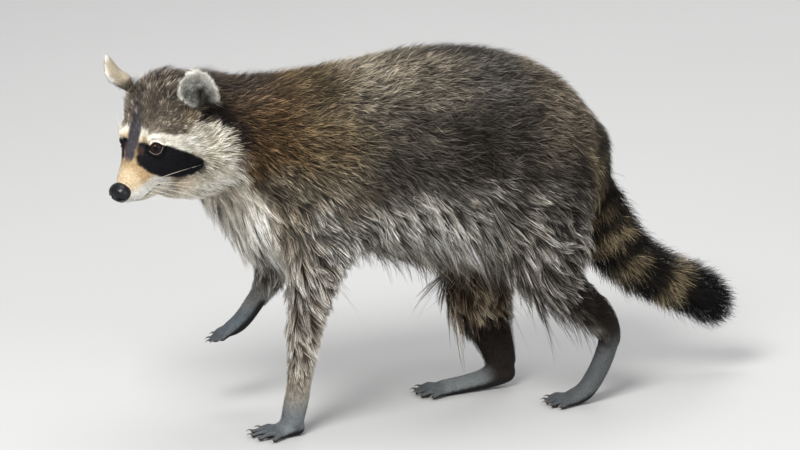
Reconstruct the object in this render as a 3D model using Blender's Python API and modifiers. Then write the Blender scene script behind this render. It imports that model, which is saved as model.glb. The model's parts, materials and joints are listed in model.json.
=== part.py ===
"""A raccoon, walking, life size, as a still model.

It faces -Y with its left side at +X. It stands on the left forepaw and both
hind feet, with the right forepaw lifted. The outer surface is the outline of
the coat, out to its tips. Metres, +Z up, the floor at z = 0.

The flesh is modelled whole, from lofts along the trunk, neck, head, tail and
legs, and is then parted with thin cuts into the pieces a person would name.
"""

import math

import bmesh
import bpy
import numpy as np
from mathutils import Matrix, Vector

# ---------------------------------------------------------------- sizes
MM = 0.001
GAP = 0.3 * MM                 # between pieces that touch
VOXEL = 2.6 * MM               # grain of the whole body before it is reduced
BODY_TRIANGLES = 3500          # of the whole body, before it is parted

HEAD_TURN = math.radians(25)   # towards the left side
HEAD_DIP = math.radians(30)    # nose down
NOSE = Vector((52, -312.5, 265)) * MM    # centre of the nose pad
EYE_AT = (-46.8, 20.6, 24.0)   # head frame: forward, left, up from the nose pad
EYE_RADIUS = 7.4
EAR_AT = (-95, 51, 43)         # middle of the ear's foot, in the head frame
EAR_TALL = {1: 52.0, -1: 43.5}    # the far ear lies lower, turned back
EAR_HALF_WIDTH = 22.5
EAR_THICK = 5.0
EAR_CUP = 9.0
NOSE_PAD = (9.9, 11.9, 10.2)    # half sizes: forward, left, up
CLAW_LENGTH = 7.0
CLAW_RADIUS = 1.35

SEGMENTS = 28                  # round a loft
PER_SPAN = 4                   # rings between two stations


# ---------------------------------------------------------------- helpers
def clear():
    for obj in list(bpy.data.objects):
        bpy.data.objects.remove(obj, do_unlink=True)


def collection(name):
    made = bpy.data.collections.new(name)
    bpy.context.scene.collection.children.link(made)
    return made


def material(name, colour, roughness, metallic=0.0):
    made = bpy.data.materials.new(name)
    made.use_nodes = True
    shader = made.node_tree.nodes["Principled BSDF"]
    shader.inputs["Base Color"].default_value = (*colour, 1.0)
    shader.inputs["Roughness"].default_value = roughness
    shader.inputs["Metallic"].default_value = metallic
    made.diffuse_color = (*colour, 1.0)
    return made


def curve_through(rows, per_span=PER_SPAN):
    """A smooth run of rows through the given ones (Catmull-Rom, evenly spaced)."""
    rows = np.array(rows, float)
    ends = np.vstack([2 * rows[0] - rows[1], rows, 2 * rows[-1] - rows[-2]])
    out = []
    for i in range(1, len(ends) - 2):
        a, b, c, d = ends[i - 1 : i + 3]
        for k in range(per_span):
            t = k / per_span
            out.append(
                0.5
                * (
                    2 * b
                    + (c - a) * t
                    + (2 * a - 5 * b + 4 * c - d) * t * t
                    + (3 * b - a - 3 * c + d) * t**3
                )
            )
    out.append(rows[-1])
    return np.array(out)


def ring_loft(rings, first, last):
    """A closed mesh through equal rings, with a point at each end."""
    n = len(rings[0])
    verts = [tuple(p) for ring in rings for p in ring] + [tuple(first), tuple(last)]
    faces = []
    for i in range(len(rings) - 1):
        for j in range(n):
            k = (j + 1) % n
            faces.append((i * n + j, i * n + k, (i + 1) * n + k, (i + 1) * n + j))
    a, b = len(verts) - 2, len(verts) - 1
    top = (len(rings) - 1) * n
    for j in range(n):
        k = (j + 1) % n
        faces.append((a, k, j))
        faces.append((b, top + j, top + k))
    mesh = bpy.data.meshes.new("loft")
    mesh.from_pydata(verts, [], faces)
    bm = bmesh.new()
    bm.from_mesh(mesh)
    bmesh.ops.recalc_face_normals(bm, faces=bm.faces)
    bm.to_mesh(mesh)
    bm.free()
    return mesh


def loft(rows, side=(1, 0, 0), egg=0.0, caps=(1.0, 1.0), segments=SEGMENTS, frame=None, power=2.0):
    """A closed tube along rows of x, y, z, half width, half height in mm.

    side is the direction of the half width. egg narrows the upper side.
    power squares the section: 2 is an ellipse.
    caps are the lengths of the round ends over the end's half height.
    """
    rows = curve_through(rows)
    side = np.array(side, float)
    points, widths, heights = rows[:, :3], rows[:, 3], rows[:, 4]
    tangents = np.gradient(points, axis=0)
    tangents /= np.linalg.norm(tangents, axis=1)[:, None]
    rings = []

    def ring(centre, tangent, width, height):
        across = side - tangent * (side @ tangent)
        across /= np.linalg.norm(across)
        up = np.cross(tangent, across)
        if up[2] < 0 or (abs(up[2]) < 0.2 and up[1] > 0):
            up = -up
        angles = np.linspace(0, 2 * np.pi, segments, endpoint=False)
        c, s = np.cos(angles), np.sin(angles)
        c = np.sign(c) * np.abs(c) ** (2 / power)
        s = np.sign(s) * np.abs(s) ** (2 / power)
        return (
            centre
            + across * (width * c * (1 - egg * s))[:, None]
            + up * (height * s)[:, None]
        )

    steps = (0.95, 0.8, 0.55, 0.28)
    reach = caps[0] * min(widths[0], heights[0])
    for f in steps:
        k = math.sqrt(1 - f * f)
        rings.append(ring(points[0] - tangents[0] * reach * f, tangents[0], widths[0] * k, heights[0] * k))
    first = points[0] - tangents[0] * reach
    for p, t, w, h in zip(points, tangents, widths, heights):
        rings.append(ring(p, t, w, h))
    reach = caps[1] * min(widths[-1], heights[-1])
    for f in reversed(steps):
        k = math.sqrt(1 - f * f)
        rings.append(ring(points[-1] + tangents[-1] * reach * f, tangents[-1], widths[-1] * k, heights[-1] * k))
    last = points[-1] + tangents[-1] * reach
    scale = MM
    mesh = ring_loft([r * scale for r in rings], first * scale, last * scale)
    if frame is not None:
        mesh.transform(frame)
    return mesh


def ellipsoid(centre, half, rotation=(0, 0, 0), segments=24, rings=14, frame=None):
    bm = bmesh.new()
    bmesh.ops.create_uvsphere(bm, u_segments=segments, v_segments=rings, radius=1.0)
    mesh = bpy.data.meshes.new("ellipsoid")
    bm.to_mesh(mesh)
    bm.free()
    turn = Matrix([[math.cos(0), 0, 0], [0, 1, 0], [0, 0, 1]]).to_4x4()
    for axis, angle in zip("XYZ", rotation):
        turn = Matrix.Rotation(math.radians(angle), 4, axis) @ turn
    mesh.transform(
        Matrix.Translation(Vector(centre) * MM) @ turn @ Matrix.Diagonal((*(h * MM for h in half), 1))
    )
    if frame is not None:
        mesh.transform(frame)
    return mesh


def smoothed(mesh, weight, rounds):
    """The mesh relaxed: each point moves to the mean of its neighbours, by its weight."""
    n = len(mesh.vertices)
    co = np.empty(n * 3)
    mesh.vertices.foreach_get("co", co)
    co = co.reshape(-1, 3)
    ends = np.empty(len(mesh.edges) * 2, np.int32)
    mesh.edges.foreach_get("vertices", ends)
    a, b = ends.reshape(-1, 2).T
    count = np.bincount(a, minlength=n) + np.bincount(b, minlength=n)
    w = weight(co)[:, None]
    for _ in range(rounds):
        mean = np.stack(
            [
                np.bincount(a, co[b, k], n) + np.bincount(b, co[a, k], n)
                for k in range(3)
            ],
            axis=1,
        ) / count[:, None]
        co = co + w * (mean - co)
    mesh.vertices.foreach_set("co", co.ravel())
    mesh.update()
    return mesh


def merged(name, meshes):
    bm = bmesh.new()
    for mesh in meshes:
        bm.from_mesh(mesh)
    out = bpy.data.meshes.new(name)
    bm.to_mesh(out)
    bm.free()
    return out


def evaluated(obj):
    graph = bpy.context.evaluated_depsgraph_get()
    return bpy.data.meshes.new_from_object(obj.evaluated_get(graph))


def modified(mesh, *modifiers):
    """The mesh after the modifiers, each given as (type, settings)."""
    obj = bpy.data.objects.new("work", mesh)
    bpy.context.scene.collection.objects.link(obj)
    for kind, settings in modifiers:
        mod = obj.modifiers.new(kind, kind)
        for key, value in settings.items():
            setattr(mod, key, value)
    bpy.context.view_layer.update()
    out = evaluated(obj)
    bpy.data.objects.remove(obj, do_unlink=True)
    return out


def boolean(mesh, cutter, operation):
    tool = bpy.data.objects.new("tool", cutter)
    bpy.context.scene.collection.objects.link(tool)
    out = modified(mesh, ("BOOLEAN", {"operation": operation, "solver": "EXACT", "object": tool}))
    bpy.data.objects.remove(tool, do_unlink=True)
    return out


def tidy(mesh, keep=1, flat=math.radians(1.5)):
    """Triangles, no slivers, and only the largest piece."""
    bm = bmesh.new()
    bm.from_mesh(mesh)
    bmesh.ops.remove_doubles(bm, verts=bm.verts, dist=0.00006)
    bmesh.ops.dissolve_degenerate(bm, dist=0.00005, edges=bm.edges)
    bmesh.ops.dissolve_limit(bm, angle_limit=flat, verts=bm.verts, edges=bm.edges)
    bmesh.ops.triangulate(bm, faces=bm.faces)
    left = set(bm.verts)
    groups = []
    while left:
        stack = [left.pop()]
        group = set(stack)
        while stack:
            for edge in stack.pop().link_edges:
                for v in edge.verts:
                    if v in left:
                        left.discard(v)
                        group.add(v)
                        stack.append(v)
        groups.append(group)
    groups.sort(key=len, reverse=True)
    loose = [v for group in groups[keep:] for v in group]
    if loose:
        bmesh.ops.delete(bm, geom=loose, context="VERTS")
    bmesh.ops.recalc_face_normals(bm, faces=bm.faces)
    out = bpy.data.meshes.new("tidy")
    bm.to_mesh(out)
    bm.free()
    return out


def block(corners, grow=0.0):
    """A convex cell from its corners in mm, or the same grown on every side."""
    bm = bmesh.new()
    verts = [bm.verts.new(Vector(c) * MM) for c in corners]
    bmesh.ops.convex_hull(bm, input=verts)
    bmesh.ops.recalc_face_normals(bm, faces=bm.faces)
    bmesh.ops.dissolve_limit(bm, angle_limit=0.001, verts=bm.verts, edges=bm.edges)
    if grow:
        planes = [(f.calc_center_median().copy(), f.normal.copy()) for f in bm.faces]
        for v in bm.verts:
            near = [n for c, n in planes if abs((v.co - c).dot(n)) < 1e-6]
            rows = np.array([list(n) for n in near])
            shift = np.linalg.lstsq(rows, np.full(len(rows), grow), rcond=None)[0]
            v.co += Vector(shift)
    mesh = bpy.data.meshes.new("block")
    bm.to_mesh(mesh)
    bm.free()
    return mesh


def slab_cell(centre, forward, up, reach, half_width, below, above):
    """Corners of a box that starts at the plane through centre and runs forward."""
    f = np.array(forward, float)
    f /= np.linalg.norm(f)
    u = np.array(up, float)
    u -= f * (u @ f)
    u /= np.linalg.norm(u)
    s = np.cross(f, u)
    c = np.array(centre, float)
    return [
        c + f * a + s * b * half_width + u * d
        for a in (0, reach)
        for b in (-1, 1)
        for d in (-below, above)
    ]


# ---------------------------------------------------------------- frames
def head_frame():
    turn, dip = HEAD_TURN, HEAD_DIP
    f = Vector((math.sin(turn) * math.cos(dip), -math.cos(turn) * math.cos(dip), -math.sin(dip)))
    left = Vector((math.cos(turn), math.sin(turn), 0))
    up = f.cross(left) * -1
    if up.z < 0:
        up = -up
    return Matrix.Translation(NOSE) @ Matrix((f, left, up)).transposed().to_4x4()


HEAD = head_frame()


def at_head(f, l, u):
    """The world point in mm of a point of the head frame in mm."""
    return np.array(HEAD @ (Vector((f, l, u)) * MM)) / MM


# ---------------------------------------------------------------- flesh
def trunk_mesh():
    # y, top, bottom, half width
    profile = (
        (-158, 359, 187, 62),
        (-125, 361, 168, 78),
        (-85, 362, 159, 85),
        (-40, 367, 151, 88),
        (10, 372, 146, 93),
        (60, 369, 143, 98),
        (105, 355, 140, 101),
        (145, 330, 146, 94),
        (166, 313, 156, 78),
        (182, 298, 166, 58),
        (196, 276, 178, 40),
    )
    rows = [(0, y, (top + low) / 2, half, (top - low) / 2) for y, top, low, half in profile]
    meshes = [loft(rows, egg=0.12, caps=(0.55, 0.35))]
    # the coat that hangs behind the elbows and before the thighs
    for x, y, z, length in ((52, -97, 198, 24), (-52, -92, 190, 26), (54, 118, 176, 50), (-54, 84, 176, 44)):
        meshes.append(ellipsoid((x, y, z), (36, length, 27)))
    return meshes


def neck_mesh():
    rows = [
        (*at_head(-92, 0, 4), 50, 52),
        (*at_head(-108, 0, 3), 52, 52),
        (13, -202, 310, 57, 58),
        (5, -168, 292, 63, 76),
        (0, -125, 268, 73, 94),
    ]
    return [loft(rows, caps=(0.3, 0.5))]


def head_meshes():
    # forward, top, bottom, half width, in the head frame
    profile = (
        (-5, 8.5, -16, 10),
        (-13, 15.5, -22, 15),
        (-22, 20, -26, 18.5),
        (-32, 25.5, -30, 22.5),
        (-42, 34.5, -36, 29),
        (-53, 45, -49, 38),
        (-66, 56, -61, 47),
        (-82, 66, -68, 55),
        (-99, 71, -66, 58),
        (-114, 69, -58, 54),
    )
    rows = [(f, 0, (top + low) / 2, half, (top - low) / 2) for f, top, low, half in profile]
    meshes = [loft(rows, side=(0, 1, 0), egg=0.08, caps=(0.8, 0.45), frame=HEAD, power=2.35)]
    for side in (-1, 1):
        # brow above the eye, and the ruff of the cheek
        meshes.append(ellipsoid((-53, side * 20, 34.5), (15, 12, 9), frame=HEAD))
        meshes.append(ellipsoid((-88, side * 44, -10), (30, 23, 32), rotation=(0, 0, side * -22), frame=HEAD))
        meshes.append(ellipsoid((-17, side * 8, -8), (13, 9.5, 11), frame=HEAD))
    return meshes


def tail_mesh():
    rows = [
        (0, 166, 246, 28, 34),
        (0, 188, 216, 30, 37),
        (0, 209, 178, 31, 36),
        (-1, 232, 144, 31, 33),
        (-3, 258, 123, 30, 30),
        (-5, 287, 107, 29, 29),
        (-7, 314, 93, 29, 29),
        (-8, 331, 80, 26, 27),
    ]
    return [loft(rows, caps=(1.0, 1.0))]


def foreleg_left():
    rows = [
        (46, -112, 262, 34, 52),
        (56, -112, 214, 36, 47),
        (60, -116, 176, 31, 33),
        (57, -120, 143, 22, 25),
        (54, -124, 112, 17, 20),
        (52, -126, 82, 13.5, 15.5),
        (51, -129, 56, 12.2, 13),
        (50, -132, 34, 12.6, 13),
        (49, -136, 15, 13, 12),
    ]
    paw = [
        (49, -129, 7.5, 11, 8),
        (48.5, -139, 6.8, 13.5, 9),
        (48.5, -149, 5.4, 14.5, 7.5),
    ]
    meshes = [loft(rows, caps=(0.8, 0.7)), loft(paw, caps=(0.8, 0.6))]
    # five toes, spread like a hand
    for i, (spread, reach) in enumerate(((-34, 20), (-15, 29), (0, 32), (15, 30), (36, 21))):
        a = math.radians(spread)
        start = np.array((48.5 + (i - 2) * 5.2, -146, 4.6))
        way = np.array((math.sin(a), -math.cos(a), 0))
        tip = start + way * reach
        toe = [
            (*start, 4.3, 4.6),
            (*(start + way * reach * 0.5 + (0, 0, 0.6)), 4.1, 4.6),
            (*(tip - (0, 0, 1.4)), 3.6, 3.8),
        ]
        meshes.append(loft(toe, caps=(1, 1), segments=12))
    return meshes


def foreleg_right():
    rows = [
        (-46, -112, 262, 34, 52),
        (-55, -112, 214, 36, 48),
        (-57, -114, 178, 29, 36),
        (-53, -120, 148, 19, 24),
        (-51, -128, 129, 13, 15.5),
        (-50, -139, 114, 11, 12),
        (-49.5, -150, 100, 10.2, 10.6),
        (-49, -159, 91, 11, 9.4),
        (-49, -169, 85, 12, 7.4),
    ]
    meshes = [loft(rows, caps=(0.8, 0.6))]
    for i, (spread, reach) in enumerate(((-17, 15), (-7, 22), (1, 24), (9, 22), (19, 16))):
        a = math.radians(spread)
        start = np.array((-49 + (i - 2) * 4.2, -168, 85.0))
        way = np.array((math.sin(a), -math.cos(a) * 0.92, -0.38 * math.cos(a)))
        tip = start + way * reach
        toe = [
            (*start, 3.9, 4.2),
            (*(start + way * reach * 0.55 + (0, 0, 0.8)), 3.7, 4.0),
            (*tip, 3.2, 3.2),
        ]
        meshes.append(loft(toe, caps=(1, 1), segments=12))
    return meshes


def hindleg_left():
    rows = [
        (44, 128, 250, 44, 50),
        (52, 127, 208, 43, 51),
        (54, 130, 172, 38, 49),
        (53, 138, 142, 28, 35),
        (51, 162, 118, 18.5, 22),
        (48, 187, 96, 14.5, 18.5),
        (46, 202, 76, 11.5, 14),
        (45, 205, 62, 11, 12),
    ]
    foot = [
        (45, 205, 68, 10.5, 11.5),
        (44.5, 200, 49, 10.5, 11),
        (44, 191, 29, 11, 10.5),
        (43.5, 179, 12, 13, 9.5),
        (43, 166, 5.8, 15, 8.0),
    ]
    meshes = [loft(rows, caps=(0.7, 0.7)), loft(foot, caps=(0.6, 0.6))]
    for i, (spread, reach) in enumerate(((-24, 17), (-11, 23), (0, 25), (11, 24), (25, 18))):
        a = math.radians(spread)
        start = np.array((43 + (i - 2) * 5.6, 163, 4.4))
        way = np.array((math.sin(a), -math.cos(a), 0))
        tip = start + way * reach
        toe = [
            (*start, 4.5, 5.0),
            (*(start + way * reach * 0.5 + (0, 0, 0.8)), 4.3, 4.8),
            (*(tip - (0, 0, 1.4)), 3.8, 4.0),
        ]
        meshes.append(loft(toe, caps=(1, 1), segments=12))
    return meshes


def hindleg_right():
    rows = [
        (-44, 126, 250, 44, 50),
        (-54, 118, 208, 42, 54),
        (-54, 103, 168, 35, 56),
        (-48, 95, 132, 29, 46),
        (-43, 98, 98, 23, 37),
        (-39, 106, 68, 18, 27),
        (-37, 114, 44, 15, 20.5),
        (-36, 119, 25, 13, 16.5),
    ]
    foot = [
        (-36, 124, 16, 11.5, 12.5),
        (-35.5, 112, 13.5, 12, 12.5),
        (-35, 96, 10, 12.5, 10.5),
        (-34.5, 78, 7.5, 13.5, 9),
        (-34, 62, 6, 15, 8.4),
        (-34, 54, 5.6, 15, 8),
    ]
    meshes = [loft(rows, caps=(0.7, 0.7)), loft(foot, caps=(0.9, 0.6))]
    for i, (spread, reach) in enumerate(((-24, 20), (-11, 27), (0, 29), (11, 28), (25, 20))):
        a = math.radians(spread)
        start = np.array((-34 + (i - 2) * 5.6, 55, 4.6))
        way = np.array((math.sin(a), -math.cos(a), 0))
        tip = start + way * reach
        toe = [
            (*start, 4.5, 5.0),
            (*(start + way * reach * 0.5 + (0, 0, 0.8)), 4.3, 4.8),
            (*(tip - (0, 0, 1.4)), 3.8, 4.0),
        ]
        meshes.append(loft(toe, caps=(1, 1), segments=12))
    return meshes


# the toes' tips, for the claws: foot, start of each claw and its way
def claws():
    """(name, start, way) of each claw in mm: it grows from the toe's end."""
    out = []
    feet = (
        ("forepaw_left", (48.5, -146, 4.6), 5.2, ((-34, 20), (-15, 29), (0, 32), (15, 30), (36, 21)), 0.0, 1.0),
        ("forepaw_right", (-49, -168, 85.0), 4.2, ((-17, 15), (-7, 22), (1, 24), (9, 22), (19, 16)), -0.38, 0.92),
        ("hindfoot_left", (43, 163, 4.4), 5.6, ((-24, 17), (-11, 23), (0, 25), (11, 24), (25, 18)), 0.0, 1.0),
        ("hindfoot_right", (-34, 55, 4.6), 5.6, ((-24, 20), (-11, 27), (0, 29), (11, 28), (25, 20)), 0.0, 1.0),
    )
    for foot, base, step, toes, drop, along in feet:
        for i, (spread, reach) in enumerate(toes):
            a = math.radians(spread)
            way = np.array((math.sin(a), -math.cos(a) * along, drop * math.cos(a)))
            start = np.array(base) + ((i - 2) * step, 0, 0) + way * (reach + 0.6)
            start[2] += 1.0 if drop else 0.2
            out.append((f"claw_{foot}_{i + 1}", start, way / np.linalg.norm(way)))
    return out


def claw_mesh(start, way, grow=0.0):
    """A curved, tapering claw; its tip bends down."""
    side = np.cross(way, (0, 0, 1.0))
    side /= np.linalg.norm(side)
    rows = []
    for t in (0.0, 0.5, 1.0):
        p = start + way * (CLAW_LENGTH * t) + np.array((0, 0, 0.9 * math.sin(math.pi * min(t, 0.6)) - 2.2 * t * t))
        r = CLAW_RADIUS * (1 - 0.68 * t) + grow
        rows.append((*p, r * 0.8, r))
    ring_rows = [(*(np.array(rows[0][:3]) - way * (1.2 + grow)), rows[0][3] * 0.9, rows[0][4] * 0.9)] + rows
    return loft_plain(ring_rows, side, 5)


def loft_plain(rows, side, segments):
    """A loft straight through the rows, with pointed ends."""
    rows = np.array(rows)
    points = rows[:, :3]
    tangents = np.gradient(points, axis=0)
    tangents /= np.linalg.norm(tangents, axis=1)[:, None]
    angles = np.linspace(0, 2 * np.pi, segments, endpoint=False)
    rings = []
    for p, t, w, h in zip(points, tangents, rows[:, 3], rows[:, 4]):
        across = side - t * (side @ t)
        across /= np.linalg.norm(across)
        up = np.cross(t, across)
        rings.append((p + across * (w * np.cos(angles))[:, None] + up * (h * np.sin(angles))[:, None]) * MM)
    first = (points[0] - tangents[0] * rows[0, 3] * 0.5) * MM
    last = (points[-1] + tangents[-1] * rows[-1, 3] * 0.8) * MM
    return ring_loft(rings, first, last)


def ear_mesh(side, grow=0.0):
    """A cupped, round-topped ear, open forward and outward."""
    foot = np.array(EAR_AT) * (1, side, 1)
    up = np.array((0.02, 0.24, 1.0) if side > 0 else (-0.08, -0.56, 0.82))
    up /= np.linalg.norm(up)
    tall = EAR_TALL[side]
    opening = np.array((0.62, side * 0.76, 0.10))
    opening -= up * (opening @ up)
    opening /= np.linalg.norm(opening)
    across = side * np.cross(opening, up)
    segments, levels = 14, 9
    angles = np.linspace(0, 2 * np.pi, segments, endpoint=False)
    t, q = np.cos(angles), np.sin(angles)
    rings = []
    for s in np.linspace(0.0, 1.0, levels):
        k = 1 - (1 - s) ** 1.0
        low = np.interp(s, (0.0, 0.16, 0.30, 0.50), (0.62, 0.72, 0.87, 1.0))
        shift = np.interp(s, (0.0, 0.16, 0.30, 0.55, 1.0), (5.4, 5.2, 3.4, 0.8, 1.5))
        round_top = math.sqrt(max(1 - max((s - 0.42) / 0.58, 0.0) ** 2.4, 0.0))
        width = EAR_HALF_WIDTH * low * max(round_top, 0.18) + grow
        thick = EAR_THICK * (0.5 + 0.25 * (1 - s)) * max(round_top, 0.5) + grow
        cup = EAR_CUP * (0.55 + 0.45 * (1 - s))
        lean = 3.0 * s * s
        centre = foot + up * (tall * k) - opening * lean - across * shift
        rings.append(
            HEADED(
                centre
                + across * (width * t)[:, None]
                + opening * (cup * t * t * (width / EAR_HALF_WIDTH) + thick * q)[:, None]
            )
        )
    first = HEADED((foot - up * (3 + grow) + opening * EAR_CUP * 0.3)[None])[0]
    last = HEADED((foot + up * (tall + 0.8 + grow) - opening * 3.0 - across * 1.5)[None])[0]
    return ring_loft(rings, first, last)


def HEADED(points):
    """World metres of head-frame points in mm."""
    m = np.array(HEAD)
    return (points * MM) @ m[:3, :3].T + m[:3, 3]


def nose_mesh(grow=0.0):
    half = [h + grow for h in NOSE_PAD]
    return ellipsoid((0, 0, 0), half, segments=14, rings=8, frame=HEAD)


def eye_mesh(side, grow=0.0):
    f, l, u = EYE_AT
    r = EYE_RADIUS + grow
    return ellipsoid((f, side * l, u), (r, r, r), segments=12, rings=8, frame=HEAD)


# ---------------------------------------------------------------- the whole
def whole_body():
    meshes = (
        trunk_mesh()
        + neck_mesh()
        + head_meshes()
        + tail_mesh()
        + foreleg_left()
        + foreleg_right()
        + hindleg_left()
        + hindleg_right()
    )
    body = merged("body", meshes)
    body = modified(
        body,
        ("REMESH", {"mode": "VOXEL", "voxel_size": VOXEL, "adaptivity": 0.0}),
    )

    def coat_weight(co):
        """The long coat of the trunk, thighs and neck is rounder than face, tail and feet."""
        low = np.clip((co[:, 2] - 0.095) / 0.05, 0, 1)
        face = np.clip((co[:, 1] + 0.235) / 0.06, 0, 1)
        tail = np.clip((0.235 - co[:, 1]) / 0.03, 0, 1)
        return 0.5 * low * face * tail

    def head_weight(co):
        """The cranium and cheeks, behind the muzzle."""
        m = np.array(HEAD.inverted())
        f = (co @ m[:3, :3].T + m[:3, 3])[:, 0] / MM
        return 0.4 * np.clip((-38 - f) / 12, 0, 1) * np.clip((0.30 + co[:, 2]) / 0.05, 0, 1) * (co[:, 1] < -0.18)

    body = smoothed(body, lambda co: np.full(len(co), 0.5), 4)
    body = smoothed(body, head_weight, 12)
    body = smoothed(body, coat_weight, 40)
    ratio = BODY_TRIANGLES / (2 * len(body.polygons))
    body = modified(
        body,
        ("TRIANGULATE", {}),
        ("DECIMATE", {"decimate_type": "COLLAPSE", "ratio": ratio, "use_collapse_triangulate": True}),
    )
    # the soles are cut level with the floor
    under = block([(x, y, z) for x in (-200, 200) for y in (-400, 450) for z in (-60, 0)])
    return tidy(boolean(body, under, "DIFFERENCE"))


def cells():
    """(name, corners) of each piece of flesh, in the order they are cut away."""
    h = lambda f, l, u: at_head(f, l, u)
    fwd = h(1, 0, 0) - h(0, 0, 0)
    upw = h(0, 0, 1) - h(0, 0, 0)
    tail = lambda y, z, dy, dz, reach, wide: slab_cell((-3, y, z), (0, dy, dz), (1, 0, 0), reach, wide, 34, 34)
    out = [
        ("tail_tip", tail(296, 100, 0.88, -0.47, 110, 60)),
        ("tail_middle", tail(242, 133, 0.70, -0.71, 110, 60)),
        ("tail_base", tail(205, 192, 0.46, -0.89, 100, 40)),
        ("lower_jaw", slab_cell(h(-44, 0, -13.5), upw * -1 + fwd * -0.10, fwd, 50, 40, 0, 60)),
        ("muzzle", slab_cell(h(-33, 0, 0), fwd, upw, 60, 60, 60, 60)),
        ("head", slab_cell(h(-106, 0, 0), fwd * 1.0 + upw * 0.10, upw, 130, 92, 70, 95)),
        ("neck", slab_cell((6, -158, 285), (0.10, -0.95, -0.16), (0, 0, 1), 130, 120, 110, 130)),
    ]
    for side, name in ((1, "left"), (-1, "right")):
        if side > 0:
            paw = slab_cell((50, -130, 26), (0, -0.15, -1), (0, -1, 0), 60, 60, 40, 80)
            arm = slab_cell((55, -118, 118), (0, -0.10, -1), (0, -1, 0), 140, 50, 60, 60)
        else:
            paw = slab_cell((-50, -159, 94), (0, -0.62, -0.80), (0, -0.80, 0.6), 80, 45, 40, 40)
            arm = slab_cell((-52, -131, 133), (0, -0.45, -0.90), (0, -0.9, 0.45), 90, 42, 50, 50)
        # the upper arm and shoulder: outside a slanting plane, in front of another
        upper = [
            (side * x, y, z)
            for x, y, z in (
                (12, -210, 100), (12, -40, 100), (150, -210, 100), (150, -40, 100),
                (22, -210, 168), (22, -40, 168),
                (84, -158, 262), (84, -84, 262), (150, -210, 262), (150, -84, 262),
            )
        ]
        if side > 0:
            foot = slab_cell((45, 200, 50), (0, -0.38, -0.92), (0, -1, 0), 90, 45, 30, 110)
            shank = slab_cell((52, 168, 122), (0, 0.62, -0.78), (0, 1, 0.8), 130, 50, 46, 60)
            thigh = [
                (x, y, z)
                for x, y, z in (
                    (6, 70, 90), (6, 250, 90), (150, 70, 90), (150, 250, 90),
                    (10, 76, 150), (10, 215, 150),
                    (96, 96, 268), (96, 190, 268), (150, 96, 268), (150, 190, 268),
                )
            ]
        else:
            foot = slab_cell((-36, 118, 29), (0, -0.25, -1), (0, -1, 0), 90, 45, 40, 130)
            shank = slab_cell((-44, 100, 100), (0, 0.10, -1), (0, 1, 0), 110, 42, 60, 60)
            thigh = [
                (x, y, z)
                for x, y, z in (
                    (-6, 46, 80), (-6, 190, 80), (-150, 46, 80), (-150, 190, 80),
                    (-10, 48, 150), (-10, 190, 150),
                    (-96, 84, 268), (-96, 176, 268), (-150, 84, 268), (-150, 176, 268),
                )
            ]
        out += [
            (f"forepaw_{name}", paw),
            (f"forearm_{name}", arm),
            (f"upper_arm_{name}", upper),
            (f"hindfoot_{name}", foot),
            (f"shank_{name}", shank),
            (f"thigh_{name}", thigh),
        ]
    return out


LOOKS = {
    # piece: colour (linear), roughness
    "tail": ((0.05, 0.042, 0.033), 0.75),
    "lower_jaw": ((0.62, 0.58, 0.50), 0.7),
    "muzzle": ((0.48, 0.40, 0.28), 0.7),
    "head": ((0.16, 0.13, 0.11), 0.75),
    "neck": ((0.17, 0.12, 0.08), 0.75),
    "trunk": ((0.13, 0.11, 0.09), 0.75),
    "upper_arm": ((0.26, 0.23, 0.19), 0.75),
    "forearm": ((0.24, 0.22, 0.19), 0.75),
    "forepaw": ((0.10, 0.11, 0.12), 0.65),
    "thigh": ((0.14, 0.12, 0.10), 0.75),
    "shank": ((0.05, 0.04, 0.035), 0.75),
    "hindfoot": ((0.10, 0.11, 0.12), 0.65),
    "ear": ((0.55, 0.52, 0.46), 0.7),
    "eye": ((0.02, 0.008, 0.005), 0.05),
    "nose": ((0.008, 0.009, 0.011), 0.25),
    "claw": ((0.30, 0.26, 0.22), 0.35),
}


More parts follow.
